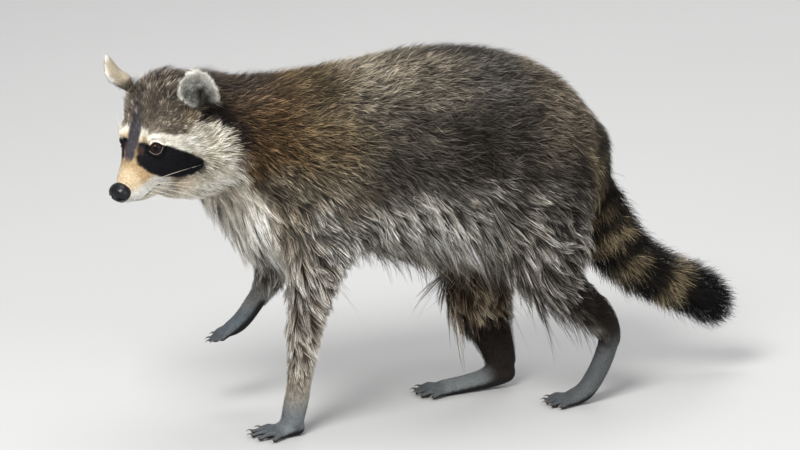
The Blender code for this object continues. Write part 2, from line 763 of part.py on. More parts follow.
def main():
    clear()
    group = collection("raccoon")
    made = {}

    def add(name, mesh):
        key = max((k for k in LOOKS if name.startswith(k)), key=len)
        if key not in made:
            made[key] = material(f"raccoon_{key}", *LOOKS[key])
        mesh.materials.clear()
        mesh.materials.append(made[key])
        mesh.name = name
        obj = bpy.data.objects.new(name, mesh)
        group.objects.link(obj)
        obj.parent = stance
        mesh.shade_smooth()
        mesh.set_sharp_from_angle(angle=math.radians(40))
        return obj

    stance = bpy.data.objects.new("raccoon_stance", None)
    group.objects.link(stance)

    rest = whole_body()
    pieces = {}
    for name, corners in cells():
        pieces[name] = tidy(boolean(rest, block(corners), "INTERSECT"))
        rest = tidy(boolean(rest, block(corners, GAP), "DIFFERENCE"))
    pieces["trunk"] = rest

    # the head makes room for the eyes and ears, the muzzle for the nose pad
    rooms = [eye_mesh(s, GAP / MM) for s in (-1, 1)] + [ear_mesh(s, GAP / MM) for s in (-1, 1)]
    for room in rooms:
        pieces["head"] = tidy(boolean(pieces["head"], room, "DIFFERENCE"))
    for name in ("muzzle", "lower_jaw"):
        pieces[name] = tidy(boolean(pieces[name], nose_mesh(GAP / MM), "DIFFERENCE"))

    # each foot makes room for its claws
    for foot in ("forepaw_left", "forepaw_right", "hindfoot_left", "hindfoot_right"):
        tools = [claw_mesh(start, way, GAP / MM) for name, start, way in claws() if foot in name]
        pieces[foot] = tidy(boolean(pieces[foot], merged("claws", tools), "DIFFERENCE"))

    for name, mesh in pieces.items():
        add(name, mesh)
    for side, word in ((1, "left"), (-1, "right")):
        add(f"eye_{word}", tidy(eye_mesh(side)))
        add(f"ear_{word}", tidy(ear_mesh(side)))
    add("nose", tidy(nose_mesh()))
    for name, start, way in claws():
        add(name, tidy(claw_mesh(start, way)))

    # the middle of the whole outline stands over the origin
    points = np.array([v.co for obj in group.objects if obj.type == "MESH" for v in obj.data.vertices])
    middle = (points.min(axis=0) + points.max(axis=0)) / 2
    stance.location = (-middle[0], -middle[1], 0)


main()
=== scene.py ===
"""The looks of a life-size raccoon: one skin, a coat of solid tufts, eyes, nose, claws and whiskers.

Lengths below are in millimetres in the animal's own frame, where the floor is
z = 0 and it faces -Y with its left side at +X. SHIFT moves that frame to the
packed one, and everything is scaled to metres as each mesh is made.
"""

import json
import math

import bmesh
import bpy
import numpy as np
from mathutils import Matrix, Vector
from mathutils.bvhtree import BVHTree
from mathutils.kdtree import KDTree

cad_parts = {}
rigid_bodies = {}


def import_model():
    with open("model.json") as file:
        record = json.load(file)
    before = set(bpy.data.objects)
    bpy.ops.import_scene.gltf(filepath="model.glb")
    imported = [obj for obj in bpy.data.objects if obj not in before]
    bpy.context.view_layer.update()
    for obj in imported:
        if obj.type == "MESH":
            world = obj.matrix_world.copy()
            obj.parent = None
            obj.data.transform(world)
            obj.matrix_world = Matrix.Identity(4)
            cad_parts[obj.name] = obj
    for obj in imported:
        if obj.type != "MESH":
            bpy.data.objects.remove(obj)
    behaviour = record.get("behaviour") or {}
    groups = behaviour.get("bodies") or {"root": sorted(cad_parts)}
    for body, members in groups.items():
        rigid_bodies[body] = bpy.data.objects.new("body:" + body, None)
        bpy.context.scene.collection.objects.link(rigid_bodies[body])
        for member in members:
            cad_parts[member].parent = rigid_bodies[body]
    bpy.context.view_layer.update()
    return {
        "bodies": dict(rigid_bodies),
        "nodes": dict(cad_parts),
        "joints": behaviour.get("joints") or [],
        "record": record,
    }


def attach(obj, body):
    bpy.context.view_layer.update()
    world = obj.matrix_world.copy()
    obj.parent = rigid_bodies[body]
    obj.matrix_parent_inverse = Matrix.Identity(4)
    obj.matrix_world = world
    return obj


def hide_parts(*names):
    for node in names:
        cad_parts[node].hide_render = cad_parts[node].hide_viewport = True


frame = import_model()
NODES = sorted(frame["nodes"])

MM = 0.001
SHIFT = np.array((0.0227, -16.9170, 0.0))
RNG = np.random.default_rng(20)

# ------------------------------------------------------------- numbers
HEAD_TURN = math.radians(25)
HEAD_DIP = math.radians(30)
NOSE = np.array((52.0, -312.5, 265.0))
EYE_AT = np.array((-46.8, 20.6, 24.0))
EYE_RADIUS = 7.4
EAR_AT = np.array((-95.0, 51.0, 43.0))
EAR_TALL = {1: 52.0, -1: 43.5}
EAR_HALF_WIDTH = 22.5
EAR_CUP = 9.0
NOSE_PAD = np.array((9.9, 11.9, 10.2))
CLAW_LENGTH = 7.6
CLAW_RADIUS = 1.35
VOXEL = 1.6


# ------------------------------------------------------------- small helpers
def unit(v):
    v = np.asarray(v, float)
    return v / np.maximum(np.linalg.norm(v, axis=-1, keepdims=True), 1e-9)


def dot(a, b):
    return np.einsum("...i,...i->...", a, b)


def ramp(a, b, x):
    """0 at a, 1 at b, smooth between."""
    t = np.clip((np.asarray(x, float) - a) / (b - a), 0, 1)
    return t * t * (3 - 2 * t)


def mix(a, b, t):
    a, b = np.asarray(a, float), np.asarray(b, float)
    t = np.asarray(t, float)
    if max(a.ndim, b.ndim) > 0 and (a.shape[-1:] == (3,) or b.shape[-1:] == (3,)) and t.ndim and t.shape[-1:] != (1,):
        t = t[..., None]
    return a + (b - a) * t


def hashed(ix, iy, iz, seed):
    with np.errstate(over="ignore"):
        n = (
            ix.astype(np.uint64) * np.uint64(0x9E3779B97F4A7C15)
            ^ iy.astype(np.uint64) * np.uint64(0xC2B2AE3D27D4EB4F)
            ^ iz.astype(np.uint64) * np.uint64(0x165667B19E3779F9)
            ^ np.uint64(seed * 7919 + 13)
        )
        n ^= n >> np.uint64(29)
        n *= np.uint64(0xBF58476D1CE4E5B9)
        n ^= n >> np.uint64(32)
    return (n & np.uint64(0xFFFFFF)).astype(float) / float(0xFFFFFF)


def noise(p, size, seed):
    """Smooth value noise from 0 to 1, with features about size across."""
    q = np.asarray(p, float) / size + 1000.0
    i = np.floor(q).astype(np.int64)
    f = q - i
    f = f * f * (3 - 2 * f)
    out = 0.0
    for dx in (0, 1):
        for dy in (0, 1):
            for dz in (0, 1):
                w = (
                    np.where(dx, f[:, 0], 1 - f[:, 0])
                    * np.where(dy, f[:, 1], 1 - f[:, 1])
                    * np.where(dz, f[:, 2], 1 - f[:, 2])
                )
                out = out + w * hashed(i[:, 0] + dx, i[:, 1] + dy, i[:, 2] + dz, seed)
    return out


# the head's own axes: forward, left, up
_turn, _dip = HEAD_TURN, HEAD_DIP
HEAD_F = np.array((math.sin(_turn) * math.cos(_dip), -math.cos(_turn) * math.cos(_dip), -math.sin(_dip)))
HEAD_L = np.array((math.cos(_turn), math.sin(_turn), 0.0))
HEAD_U = -np.cross(HEAD_F, HEAD_L)
if HEAD_U[2] < 0:
    HEAD_U = -HEAD_U
HEAD_AXES = np.stack([HEAD_F, HEAD_L, HEAD_U])


def at_head(q):
    """World points of head points."""
    return np.asarray(q, float) @ HEAD_AXES + NOSE


def in_head(p):
    """Head points (forward, left, up) of world points."""
    return (np.asarray(p, float) - NOSE) @ HEAD_AXES.T


def head_way(v):
    return np.asarray(v, float) @ HEAD_AXES


# ------------------------------------------------------------- lofts
def curve_through(rows, per_span=5):
    rows = np.array(rows, float)
    ends = np.vstack([2 * rows[0] - rows[1], rows, 2 * rows[-1] - rows[-2]])
    out = []
    for i in range(1, len(ends) - 2):
        a, b, c, d = ends[i - 1 : i + 3]
        for k in range(per_span):
            t = k / per_span
            out.append(
                0.5
                * (2 * b + (c - a) * t + (2 * a - 5 * b + 4 * c - d) * t * t + (3 * b - a - 3 * c + d) * t**3)
            )
    out.append(rows[-1])
    return np.array(out)


def ring_faces(rings, n, first, last):
    faces = []
    for i in range(rings - 1):
        for j in range(n):
            k = (j + 1) % n
            faces.append((i * n + j, i * n + k, (i + 1) * n + k, (i + 1) * n + j))
    top = (rings - 1) * n
    for j in range(n):
        k = (j + 1) % n
        faces.append((first, k, j))
        faces.append((last, top + j, top + k))
    return faces


def tube(rings, first, last):
    """(points, faces) of a closed tube through equal rings."""
    n = len(rings[0])
    points = np.vstack([*rings, first, last])
    return points, ring_faces(len(rings), n, len(points) - 2, len(points) - 1)


def loft(rows, k, side=(1, 0, 0), egg=0.0, caps=(1.0, 1.0), segments=36, frame=None, power=2.0):
    """A closed tube along rows of x, y, z, half width, half height, coat depth.

    k is 0 for the outline of the coat and 1 for the skin under it.
    """
    rows = curve_through(rows)
    side = np.array(side, float)
    points = rows[:, :3]
    widths = np.maximum(rows[:, 3] - k * rows[:, 5], 1.2)
    heights = np.maximum(rows[:, 4] - k * rows[:, 5], 1.2)
    tangents = unit(np.gradient(points, axis=0))
    rings = []

    def ring(centre, tangent, width, height):
        across = unit(side - tangent * (side @ tangent))
        up = np.cross(tangent, across)
        if up[2] < 0 or (abs(up[2]) < 0.2 and up[1] > 0):
            up = -up
        angles = np.linspace(0, 2 * np.pi, segments, endpoint=False)
        c, s = np.cos(angles), np.sin(angles)
        c = np.sign(c) * np.abs(c) ** (2 / power)
        s = np.sign(s) * np.abs(s) ** (2 / power)
        return centre + across * (width * c * (1 - egg * s))[:, None] + up * (height * s)[:, None]

    steps = (0.97, 0.88, 0.72, 0.5, 0.25)
    reach = caps[0] * min(widths[0], heights[0])
    for f in steps:
        q = math.sqrt(1 - f * f)
        rings.append(ring(points[0] - tangents[0] * reach * f, tangents[0], widths[0] * q, heights[0] * q))
    first = points[0] - tangents[0] * reach
    for p, t, w, h in zip(points, tangents, widths, heights):
        rings.append(ring(p, t, w, h))
    reach = caps[1] * min(widths[-1], heights[-1])
    for f in reversed(steps):
        q = math.sqrt(1 - f * f)
        rings.append(ring(points[-1] + tangents[-1] * reach * f, tangents[-1], widths[-1] * q, heights[-1] * q))
    last = points[-1] + tangents[-1] * reach
    verts, faces = tube(rings, first, last)
    return (at_head(verts) if frame else verts), faces


def ellipsoid(centre, half, turn=0.0, frame=False, segments=32, rings=18):
    """turn is about the third axis, in degrees."""
    lat = np.linspace(-np.pi / 2, np.pi / 2, rings + 2)[1:-1]
    lon = np.linspace(0, 2 * np.pi, segments, endpoint=False)
    loops = [
        np.stack([np.cos(a) * np.cos(lon), np.cos(a) * np.sin(lon), np.full(segments, np.sin(a))], axis=1) for a in lat
    ]
    verts, faces = tube(loops, (0, 0, -1), (0, 0, 1))
    verts = verts * np.array(half, float)
    c, s = math.cos(math.radians(turn)), math.sin(math.radians(turn))
    verts = verts @ np.array(((c, s, 0), (-s, c, 0), (0, 0, 1))) + np.array(centre, float)
    return (at_head(verts) if frame else verts), faces


# ------------------------------------------------------------- the body's rows
TRUNK = (
    # y, top, bottom, half width, coat depth at the top, bottom and side
    (-158, 359, 187, 62, 9, 14, 10),
    (-125, 361, 168, 78, 9, 20, 10),
    (-85, 362, 159, 85, 8, 26, 10),
    (-40, 367, 151, 88, 8, 31, 10),
    (10, 372, 146, 93, 8, 33, 10),
    (60, 369, 143, 98, 8, 32, 10),
    (105, 355, 140, 101, 8, 26, 10),
    (145, 330, 146, 94, 9, 18, 10),
    (166, 313, 156, 78, 9, 12, 9),
    (182, 298, 166, 58, 9, 10, 9),
    (196, 276, 178, 40, 9, 9, 8),
)
HEAD_PROFILE = (
    # forward, top, bottom, half width, coat depth
    (-5, 8.5, -16, 10, 0.5),
    (-13, 15.5, -22, 15, 0.8),
    (-22, 20, -26, 18.5, 1.0),
    (-32, 25.5, -30, 22.5, 1.4),
    (-42, 34.5, -36, 29, 2.0),
    (-53, 45, -49, 38, 3.0),
    (-66, 56, -61, 47, 4.5),
    (-82, 66, -68, 55, 5.5),
    (-99, 71, -66, 58, 6.5),
    (-114, 69, -58, 54, 7.0),
)
NECK = [
    (*at_head((-92, 0, 4)), 50, 52, 8),
    (*at_head((-108, 0, 3)), 52, 52, 9),
    (13, -202, 310, 57, 58, 10),
    (5, -168, 292, 63, 76, 11),
    (0, -125, 268, 73, 94, 12),
]
TAIL = [
    (0, 166, 246, 28, 34, 9),
    (0, 188, 216, 30, 37, 11),
    (0, 209, 178, 31, 36, 14),
    (-1, 232, 144, 31, 33, 15),
    (-3, 258, 123, 30, 30, 15),
    (-5, 287, 107, 29, 29, 15),
    (-7, 314, 93, 29, 29, 15),
    (-8, 331, 80, 26, 27, 14),
]
FORE_LEFT = [
    (46, -112, 262, 34, 52, 10),
    (56, -112, 214, 36, 47, 10),
    (60, -116, 176, 31, 33, 10),
    (57, -120, 143, 22, 25, 8),
    (54, -124, 112, 17, 20, 5),
    (52, -126, 82, 13.5, 15.5, 2.6),
    (51, -129, 56, 12.2, 13, 1.5),
    (50, -132, 34, 12.6, 13, 0.9),
    (49, -136, 15, 13, 12, 0.6),
]
FORE_RIGHT = [
    (-46, -112, 262, 34, 52, 10),
    (-55, -112, 214, 36, 48, 10),
    (-57, -114, 178, 29, 36, 9),
    (-53, -120, 148, 19, 24, 6),
    (-51, -128, 129, 13, 15.5, 2.6),
    (-50, -139, 114, 11, 12, 1.4),
    (-49.5, -150, 100, 10.2, 10.6, 0.9),
    (-49, -159, 91, 11, 9.4, 0.6),
    (-49, -169, 85, 12, 7.4, 0.5),
]
HIND_LEFT = [
    (44, 128, 250, 44, 50, 10),
    (52, 127, 208, 43, 51, 10),
    (54, 130, 172, 38, 49, 10),
    (53, 138, 142, 28, 35, 9),
    (51, 162, 118, 18.5, 22, 5),
    (48, 187, 96, 14.5, 18.5, 2.2),
    (46, 202, 76, 11.5, 14, 1.2),
    (45, 205, 62, 11, 12, 0.9),
]
HIND_RIGHT = [
    (-44, 126, 250, 44, 50, 10),
    (-54, 118, 208, 42, 54, 10),
    (-54, 103, 168, 35, 56, 10),
    (-48, 95, 132, 29, 46, 10),
    (-43, 98, 98, 23, 37, 8),
    (-39, 106, 68, 18, 27, 5),
    (-37, 114, 44, 15, 20.5, 2.2),
    (-36, 119, 25, 13, 16.5, 1.0),
]
FOOT_LEFT = [
    (45, 205, 68, 10.5, 11.5, 0.8),
    (44.5, 200, 49, 10.5, 11, 0.7),
    (44, 191, 29, 11, 10.5, 0.6),
    (43.5, 179, 12, 13, 9.5, 0.5),
    (43, 166, 5.8, 15, 8.0, 0.5),
]
FOOT_RIGHT = [
    (-36, 124, 16, 11.5, 12.5, 0.8),
    (-35.5, 112, 13.5, 12, 12.5, 0.7),
    (-35, 96, 10, 12.5, 10.5, 0.6),
    (-34.5, 78, 7.5, 13.5, 9, 0.5),
    (-34, 62, 6, 15, 8.4, 0.5),
    (-34, 54, 5.6, 15, 8, 0.5),
]
PAW_LEFT = [
    (49, -129, 7.5, 11, 8, 0.5),
    (48.5, -139, 6.8, 13.5, 9, 0.5),
    (48.5, -149, 5.4, 14.5, 7.5, 0.5),
]
# base, step between toes, (spread, reach) of each, drop, forward, half sizes at the root, middle and end, of each foot
TOES = {
    "forepaw_left": (
        (48.5, -146, 4.6), 5.2, ((-34, 20), (-15, 29), (0, 32), (15, 30), (36, 21)), 0.0, 1.0,
        ((4.3, 4.6), (4.1, 4.6), (3.6, 3.8)),
    ),
    "forepaw_right": (
        (-49, -168, 85.0), 4.2, ((-17, 15), (-7, 22), (1, 24), (9, 22), (19, 16)), -0.38, 0.92,
        ((3.9, 4.2), (3.7, 4.0), (3.2, 3.2)),
    ),
    "hindfoot_left": (
        (43, 163, 4.4), 5.6, ((-24, 17), (-11, 23), (0, 25), (11, 24), (25, 18)), 0.0, 1.0,
        ((4.5, 5.0), (4.3, 4.8), (3.8, 4.0)),
    ),
    "hindfoot_right": (
        (-34, 55, 4.6), 5.6, ((-24, 20), (-11, 27), (0, 29), (11, 28), (25, 20)), 0.0, 1.0,
        ((4.5, 5.0), (4.3, 4.8), (3.8, 4.0)),
    ),
}


def toe_ways(foot):
    """(start, way, reach) of each toe."""
    base, step, toes, drop, along, _ = TOES[foot]
    for i, (spread, reach) in enumerate(toes):
        a = math.radians(spread)
        way = np.array((math.sin(a), -math.cos(a) * along, drop * math.cos(a)))
        yield np.array(base) + ((i - 2) * step, 0, 0), way, reach


def toe_lofts(foot, k):
    halves = TOES[foot][5]
    lifted = foot == "forepaw_right"
    out = []
    for start, way, reach in toe_ways(foot):
        tip = start + way * reach
        d = 0.45
        rows = [
            (*start, *halves[0], d),
            (*(start + way * reach * 0.3 + (0, 0, 0.2)), halves[1][0] * 0.97, halves[1][1] * 0.96, d),
            (*(start + way * reach * 0.55 + (0, 0, 0.9)), halves[1][0] * 1.04, halves[1][1] * 1.05, d),
            (*(start + way * reach * 0.78 - (0, 0, 0.1)), halves[2][0] * 0.93, halves[2][1] * 0.98, d),
            (*(tip - (0, 0, 0.0 if lifted else 1.4)), *halves[2], d),
        ]
        out.append(loft(rows, k, caps=(1, 1), segments=18))
        # the pad under the toe's end
        if not lifted:
            out.append(ellipsoid(tip - way * 2.0 - (0, 0, 2.2), (3.2, 4.6, 2.8), turn=0))
        else:
            out.append(ellipsoid(tip - way * 2.0 - (0, 0, 1.6), (2.7, 3.8, 2.3), turn=0))
    return out


def flesh(k):
    """Every piece of flesh but the ears, as (points, faces)."""
    rows = [
        (0, y, ((top - k * dt) + (low + k * dl)) / 2, half - k * ds, ((top - k * dt) - (low + k * dl)) / 2, 0)
        for y, top, low, half, dt, dl, ds in TRUNK
    ]
    out = [loft(rows, k, egg=0.12, caps=(0.55, 0.35), segments=64)]
    for x, y, z, length in ((52, -97, 198, 24), (-52, -92, 190, 26), (54, 118, 176, 50), (-54, 84, 176, 44)):
        out.append(ellipsoid((x, y, z), (36 - 11 * k, length - 11 * k, 27 - 11 * k)))
    out.append(loft(NECK, k, caps=(0.3, 0.5), segments=48))
    rows = [(f, 0, (top + low) / 2, half, (top - low) / 2, d) for f, top, low, half, d in HEAD_PROFILE]
    out.append(loft(rows, k, side=(0, 1, 0), egg=0.08, caps=(0.8, 0.45), frame=True, power=2.35, segments=56))
    for side in (-1, 1):
        out.append(ellipsoid((-53, side * 20, 34.5), np.array((15, 12, 9)) - 2.2 * k, frame=True))
        out.append(ellipsoid((-88, side * 44, -10), np.array((30, 23, 32)) - 8.5 * k, turn=side * -22, frame=True))
        out.append(ellipsoid((-17, side * 8, -8), np.array((13, 9.5, 11)) - 0.8 * k, frame=True))
    out.append(loft(TAIL, k, caps=(1.0, 1.0)))
    out.append(loft(FORE_LEFT, k, caps=(0.8, 0.7)))
    out.append(loft(PAW_LEFT, k, caps=(0.8, 0.6)))
    out.append(loft(FORE_RIGHT, k, caps=(0.8, 0.6)))
    out.append(loft(HIND_LEFT, k, caps=(0.7, 0.7)))
    out.append(loft(FOOT_LEFT, k, caps=(0.6, 0.6)))
    out.append(loft(HIND_RIGHT, k, caps=(0.7, 0.7)))
    out.append(loft(FOOT_RIGHT, k, caps=(0.9, 0.6)))
    for foot in TOES:
        out += toe_lofts(foot, k)
    return out


def ear_axes(side):
    up = unit((0.02, 0.24, 1.0)) if side > 0 else unit((-0.08, -0.56, 0.82))
    opening = np.array((0.62, side * 0.76, 0.10))
    opening = unit(opening - up * (opening @ up))
    return EAR_AT * (1, side, 1), side * np.cross(opening, up), opening, up


def ear_shift(s):
    """How far the ear's middle line lies towards its outer edge at share s of its height."""
    return np.interp(s, (-0.12, 0.16, 0.30, 0.55, 1.0), (5.6, 5.2, 3.4, 0.8, 1.5))


def ear_width(s, k):
    """Half width of the ear at share s of its height."""
    s = np.asarray(s, float)
    low = np.interp(s, (-0.12, 0.0, 0.16, 0.30, 0.50), (0.42, 0.55, 0.70, 0.86, 1.0))
    round_top = np.sqrt(np.clip(1 - np.clip((s - 0.42) / 0.58, 0, 1) ** 2.4, 0.0144, 1))
    return (EAR_HALF_WIDTH - 2.4 * k) * low * round_top


def ear(side, k):
    """A cupped, round-topped ear, open forward and outward. It tapers to a thin edge."""
    foot, across, opening, up = ear_axes(side)
    half = EAR_HALF_WIDTH - 2.4 * k
    tall = EAR_TALL[side] - 2.6 * k
    segments, levels = 48, 30
    angles = np.linspace(0, 2 * np.pi, segments, endpoint=False)
    t, q = np.cos(angles), np.sin(angles)
    rings = []
    for s in np.linspace(-0.12, 1.0, levels):
        width = float(ear_width(s, k))
        round_top = math.sqrt(max(1 - max((s - 0.42) / 0.58, 0.0) ** 2.4, 0.0))
        thick = (5.0 - 2.1 * k) * (0.46 + 0.3 * (1 - s)) * max(round_top, 0.5)
        cup = (EAR_CUP + 1.5 * k) * (0.55 + 0.45 * (1 - s))
        centre = foot + up * (tall * s) - opening * 3.0 * s * s - across * ear_shift(s)
        rings.append(
            at_head(
                centre
                + across * (width * t)[:, None]
                + opening * (cup * t * t * (width / half) + thick * q)[:, None]
            )
        )
    first = at_head(foot - up * (0.12 * tall + 2) + opening * EAR_CUP * 0.3)
    last = at_head(foot + up * (tall + 0.6) - opening * 3.0)
    return tube(rings, first, last)


def mesh_of(name, pieces):
    verts, faces, n = [], [], 0
    for points, loops in pieces:
        verts.append(points)
        faces += [tuple(i + n for i in loop) for loop in loops]
        n += len(points)
    mesh = bpy.data.meshes.new(name)
    mesh.from_pydata(np.vstack(verts).tolist(), [], faces)
    bm = bmesh.new()
    bm.from_mesh(mesh)
    bmesh.ops.recalc_face_normals(bm, faces=bm.faces)
    bm.to_mesh(mesh)
    bm.free()
    return mesh


def modified(mesh, kind, **settings):
    obj = bpy.data.objects.new("work", mesh)
    bpy.context.scene.collection.objects.link(obj)
    groups = settings.pop("weights", None)
    if groups is not None:
        group = obj.vertex_groups.new(name="weight")
        for value in np.unique(groups):
            group.add(np.flatnonzero(groups == value).tolist(), float(value), "REPLACE")
        settings["vertex_group"] = "weight"
    mod = obj.modifiers.new(kind, kind)
    for key, value in settings.items():
        setattr(mod, key, value)
    bpy.context.view_layer.update()
    out = bpy.data.meshes.new_from_object(obj.evaluated_get(bpy.context.evaluated_depsgraph_get()))
    bpy.data.objects.remove(obj, do_unlink=True)
    return out


def coords(mesh):
    co = np.empty(len(mesh.vertices) * 3, np.float32)
    mesh.vertices.foreach_get("co", co)
    return co.reshape(-1, 3).astype(float)


def put_coords(mesh, co):
    mesh.vertices.foreach_set("co", np.ascontiguousarray(co, np.float32).ravel())
    mesh.update()


def edges_of(mesh):
    ends = np.empty(len(mesh.edges) * 2, np.int32)
    mesh.edges.foreach_get("vertices", ends)
    return ends.reshape(-1, 2).T


def relax(values, ends, n, weight, rounds):
    """Each row of values moves towards its neighbours' mean, by its weight."""
    a, b = ends
    count = np.maximum(np.bincount(a, minlength=n) + np.bincount(b, minlength=n), 1)
    weight = np.broadcast_to(weight, n)[:, None]
    live = weight[:, 0] > 1e-4
    keep = live[a] | live[b]
    a, b = a[keep], b[keep]
    for _ in range(rounds):
        mean = np.stack(
            [np.bincount(a, values[b, k], n) + np.bincount(b, values[a, k], n) for k in range(values.shape[1])], axis=1
        ) / count[:, None]
        values = values + weight * (mean - values)
    return values


def smooth_body(mesh, voxel):
    """The same easing of the body as in the solids, at this grain."""
    co, ends = coords(mesh), edges_of(mesh)
    n = len(co)
    more = (2.6 / voxel) ** 2
    co = relax(co, ends, n, np.full(n, 0.5), round(4 * more))
    f = in_head(co)[:, 0]
    head = 0.4 * np.clip((-38 - f) / 12, 0, 1) * (co[:, 1] < -180)
    co = relax(co, ends, n, head, round(12 * more))
    low = np.clip((co[:, 2] - 95) / 50, 0, 1)
    face = np.clip((co[:, 1] + 235) / 60, 0, 1)
    tail = np.clip((235 - co[:, 1]) / 30, 0, 1)
    co = relax(co, ends, n, 0.5 * low * face * tail, round(40 * more))
    put_coords(mesh, co)
    return mesh


def flatten_soles(co):
    """Points below the floor come up to it."""
    co = co.copy()
    co[:, 2] = np.where(co[:, 2] < 0.05, 0.05, co[:, 2])
    return co


# ------------------------------------------------------------- the coat's outline
outline = smooth_body(modified(mesh_of("outline", flesh(0)), "REMESH", mode="VOXEL", voxel_size=3.2), 3.2)
outline_co = coords(outline)
outline_tree = BVHTree.FromPolygons(outline_co.tolist(), [tuple(p.vertices) for p in outline.polygons])

# ------------------------------------------------------------- the skin
body = smooth_body(modified(mesh_of("body", flesh(1)), "REMESH", mode="VOXEL", voxel_size=VOXEL), VOXEL)
both = bmesh.new()
both.from_mesh(body)
for side in (-1, 1):
    both.from_mesh(mesh_of("ear", [ear(side, 1)]))
joined = bpy.data.meshes.new("joined")
both.to_mesh(joined)
both.free()
skin = modified(joined, "REMESH", mode="VOXEL", voxel_size=VOXEL)
co, ends = coords(skin), edges_of(skin)
h = in_head(co)
at_ear = np.zeros(len(co))
for side in (-1, 1):
    foot, across, opening, up = ear_axes(side)
    q = h - foot
    s = q @ up
    at_ear = np.maximum(at_ear, np.exp(-((s / 7) ** 2)) * (np.abs(q @ across) < 30) * (np.abs(q @ opening) < 26))
co = relax(co, ends, len(co), 0.5 * at_ear, 26)
co = relax(co, ends, len(co), np.full(len(co), 0.35), 3)
put_coords(skin, co)

# the long-haired parts need few triangles, the face, ears and feet many
h = in_head(co)
fine = ramp(-128, -108, h[:, 0]) * ramp(-105, -85, h[:, 2]) * (co[:, 1] < -170)
feet = np.maximum(ramp(70, 45, co[:, 2]), (co[:, 1] < -135) * (co[:, 2] < 125))
fine = np.round(np.maximum(fine, feet), 1)
skin = modified(
    skin, "DECIMATE", decimate_type="COLLAPSE", ratio=0.22, use_collapse_triangulate=True, weights=1 - fine
)


def cut_finer(mesh, chosen):
    """Each edge whose two ends are chosen is cut in two."""
    bm = bmesh.new()
    bm.from_mesh(mesh)
    flags = chosen(coords(mesh))
    pick = [e for e in bm.edges if flags[e.verts[0].index] and flags[e.verts[1].index]]
    bmesh.ops.subdivide_edges(bm, edges=pick, cuts=1, smooth=0.4)
    bmesh.ops.triangulate(bm, faces=bm.faces)
    bm.to_mesh(mesh)
    bm.free()
    return mesh


def eye_offsets(h):
    """(distance from the nearer eye's centre, side) of head points."""
    side = np.where(h[:, 1] < 0, -1.0, 1.0)
    q = h - EYE_AT * np.stack([np.ones(len(h)), side, np.ones(len(h))], axis=1)
    return q, side


skin = cut_finer(skin, lambda co: in_head(co)[:, 0] > -44)
skin = cut_finer(skin, lambda co: np.linalg.norm(eye_offsets(in_head(co))[0], axis=1) < 15.5)
skin = cut_finer(skin, lambda co: np.linalg.norm(eye_offsets(in_head(co))[0], axis=1) < 11.5)

# ------------------------------------------------------------- eyes, lids and mouth
EYE_OUT = unit((0.56, 0.76, 0.34))      # the way the left eye looks, in the head's axes
EYE_ALONG = unit(np.cross((0, 0, 1.0), EYE_OUT))
EYE_ALONG = unit(EYE_ALONG * np.array((1, 1, 1)) + np.array((0, 0, -0.12)))   # the inner corner is a little lower
EYE_ALONG = unit(EYE_ALONG - EYE_OUT * (EYE_ALONG @ EYE_OUT))
EYE_UP = np.cross(EYE_OUT, EYE_ALONG)
OPEN_ALONG, OPEN_UP = 6.5, 5.5


def eye_axes(side):
    flip = np.array((1, side, 1))
    return EYE_OUT * flip, EYE_ALONG * flip, EYE_UP * flip


def eye_coords(h):
    """(along, up, out, radius over the opening's, side) of head points."""
    q, side = eye_offsets(h)
    flip = np.stack([np.ones(len(h)), side, np.ones(len(h))], axis=1)
    q = q * flip
    a, b, c = q @ EYE_ALONG, q @ EYE_UP, q @ EYE_OUT
    # almond: the opening narrows towards its two corners
    half = OPEN_UP * np.sqrt(np.clip(1 - (a / (OPEN_ALONG * 1.25)) ** 2, 0.05, 1))
    r = np.sqrt((a / OPEN_ALONG) ** 2 + (b / half) ** 2)
    return a, b, c, r, side


MOUTH = np.array(
    ((1.5, 0, -14.5), (-3, 4.5, -14.0), (-8, 9, -13.4), (-15, 13.2, -13.2), (-24, 17.6, -13.2), (-34, 22.4, -11.5))
)


def nearest_on(p, path):
    """(distance, arc length) from points to a path."""
    best = np.full(len(p), 1e9)
    arc = np.zeros(len(p))
    run = 0.0
    for a, b in zip(path[:-1], path[1:]):
        d = b - a
        length = np.linalg.norm(d)
        t = np.clip((p - a) @ d / length**2, 0, 1)
        dist = np.linalg.norm(p - a - t[:, None] * d, axis=1)
        closer = dist < best
        best = np.where(closer, dist, best)
        arc = np.where(closer, run + t * length, arc)
        run += length
    return best, arc


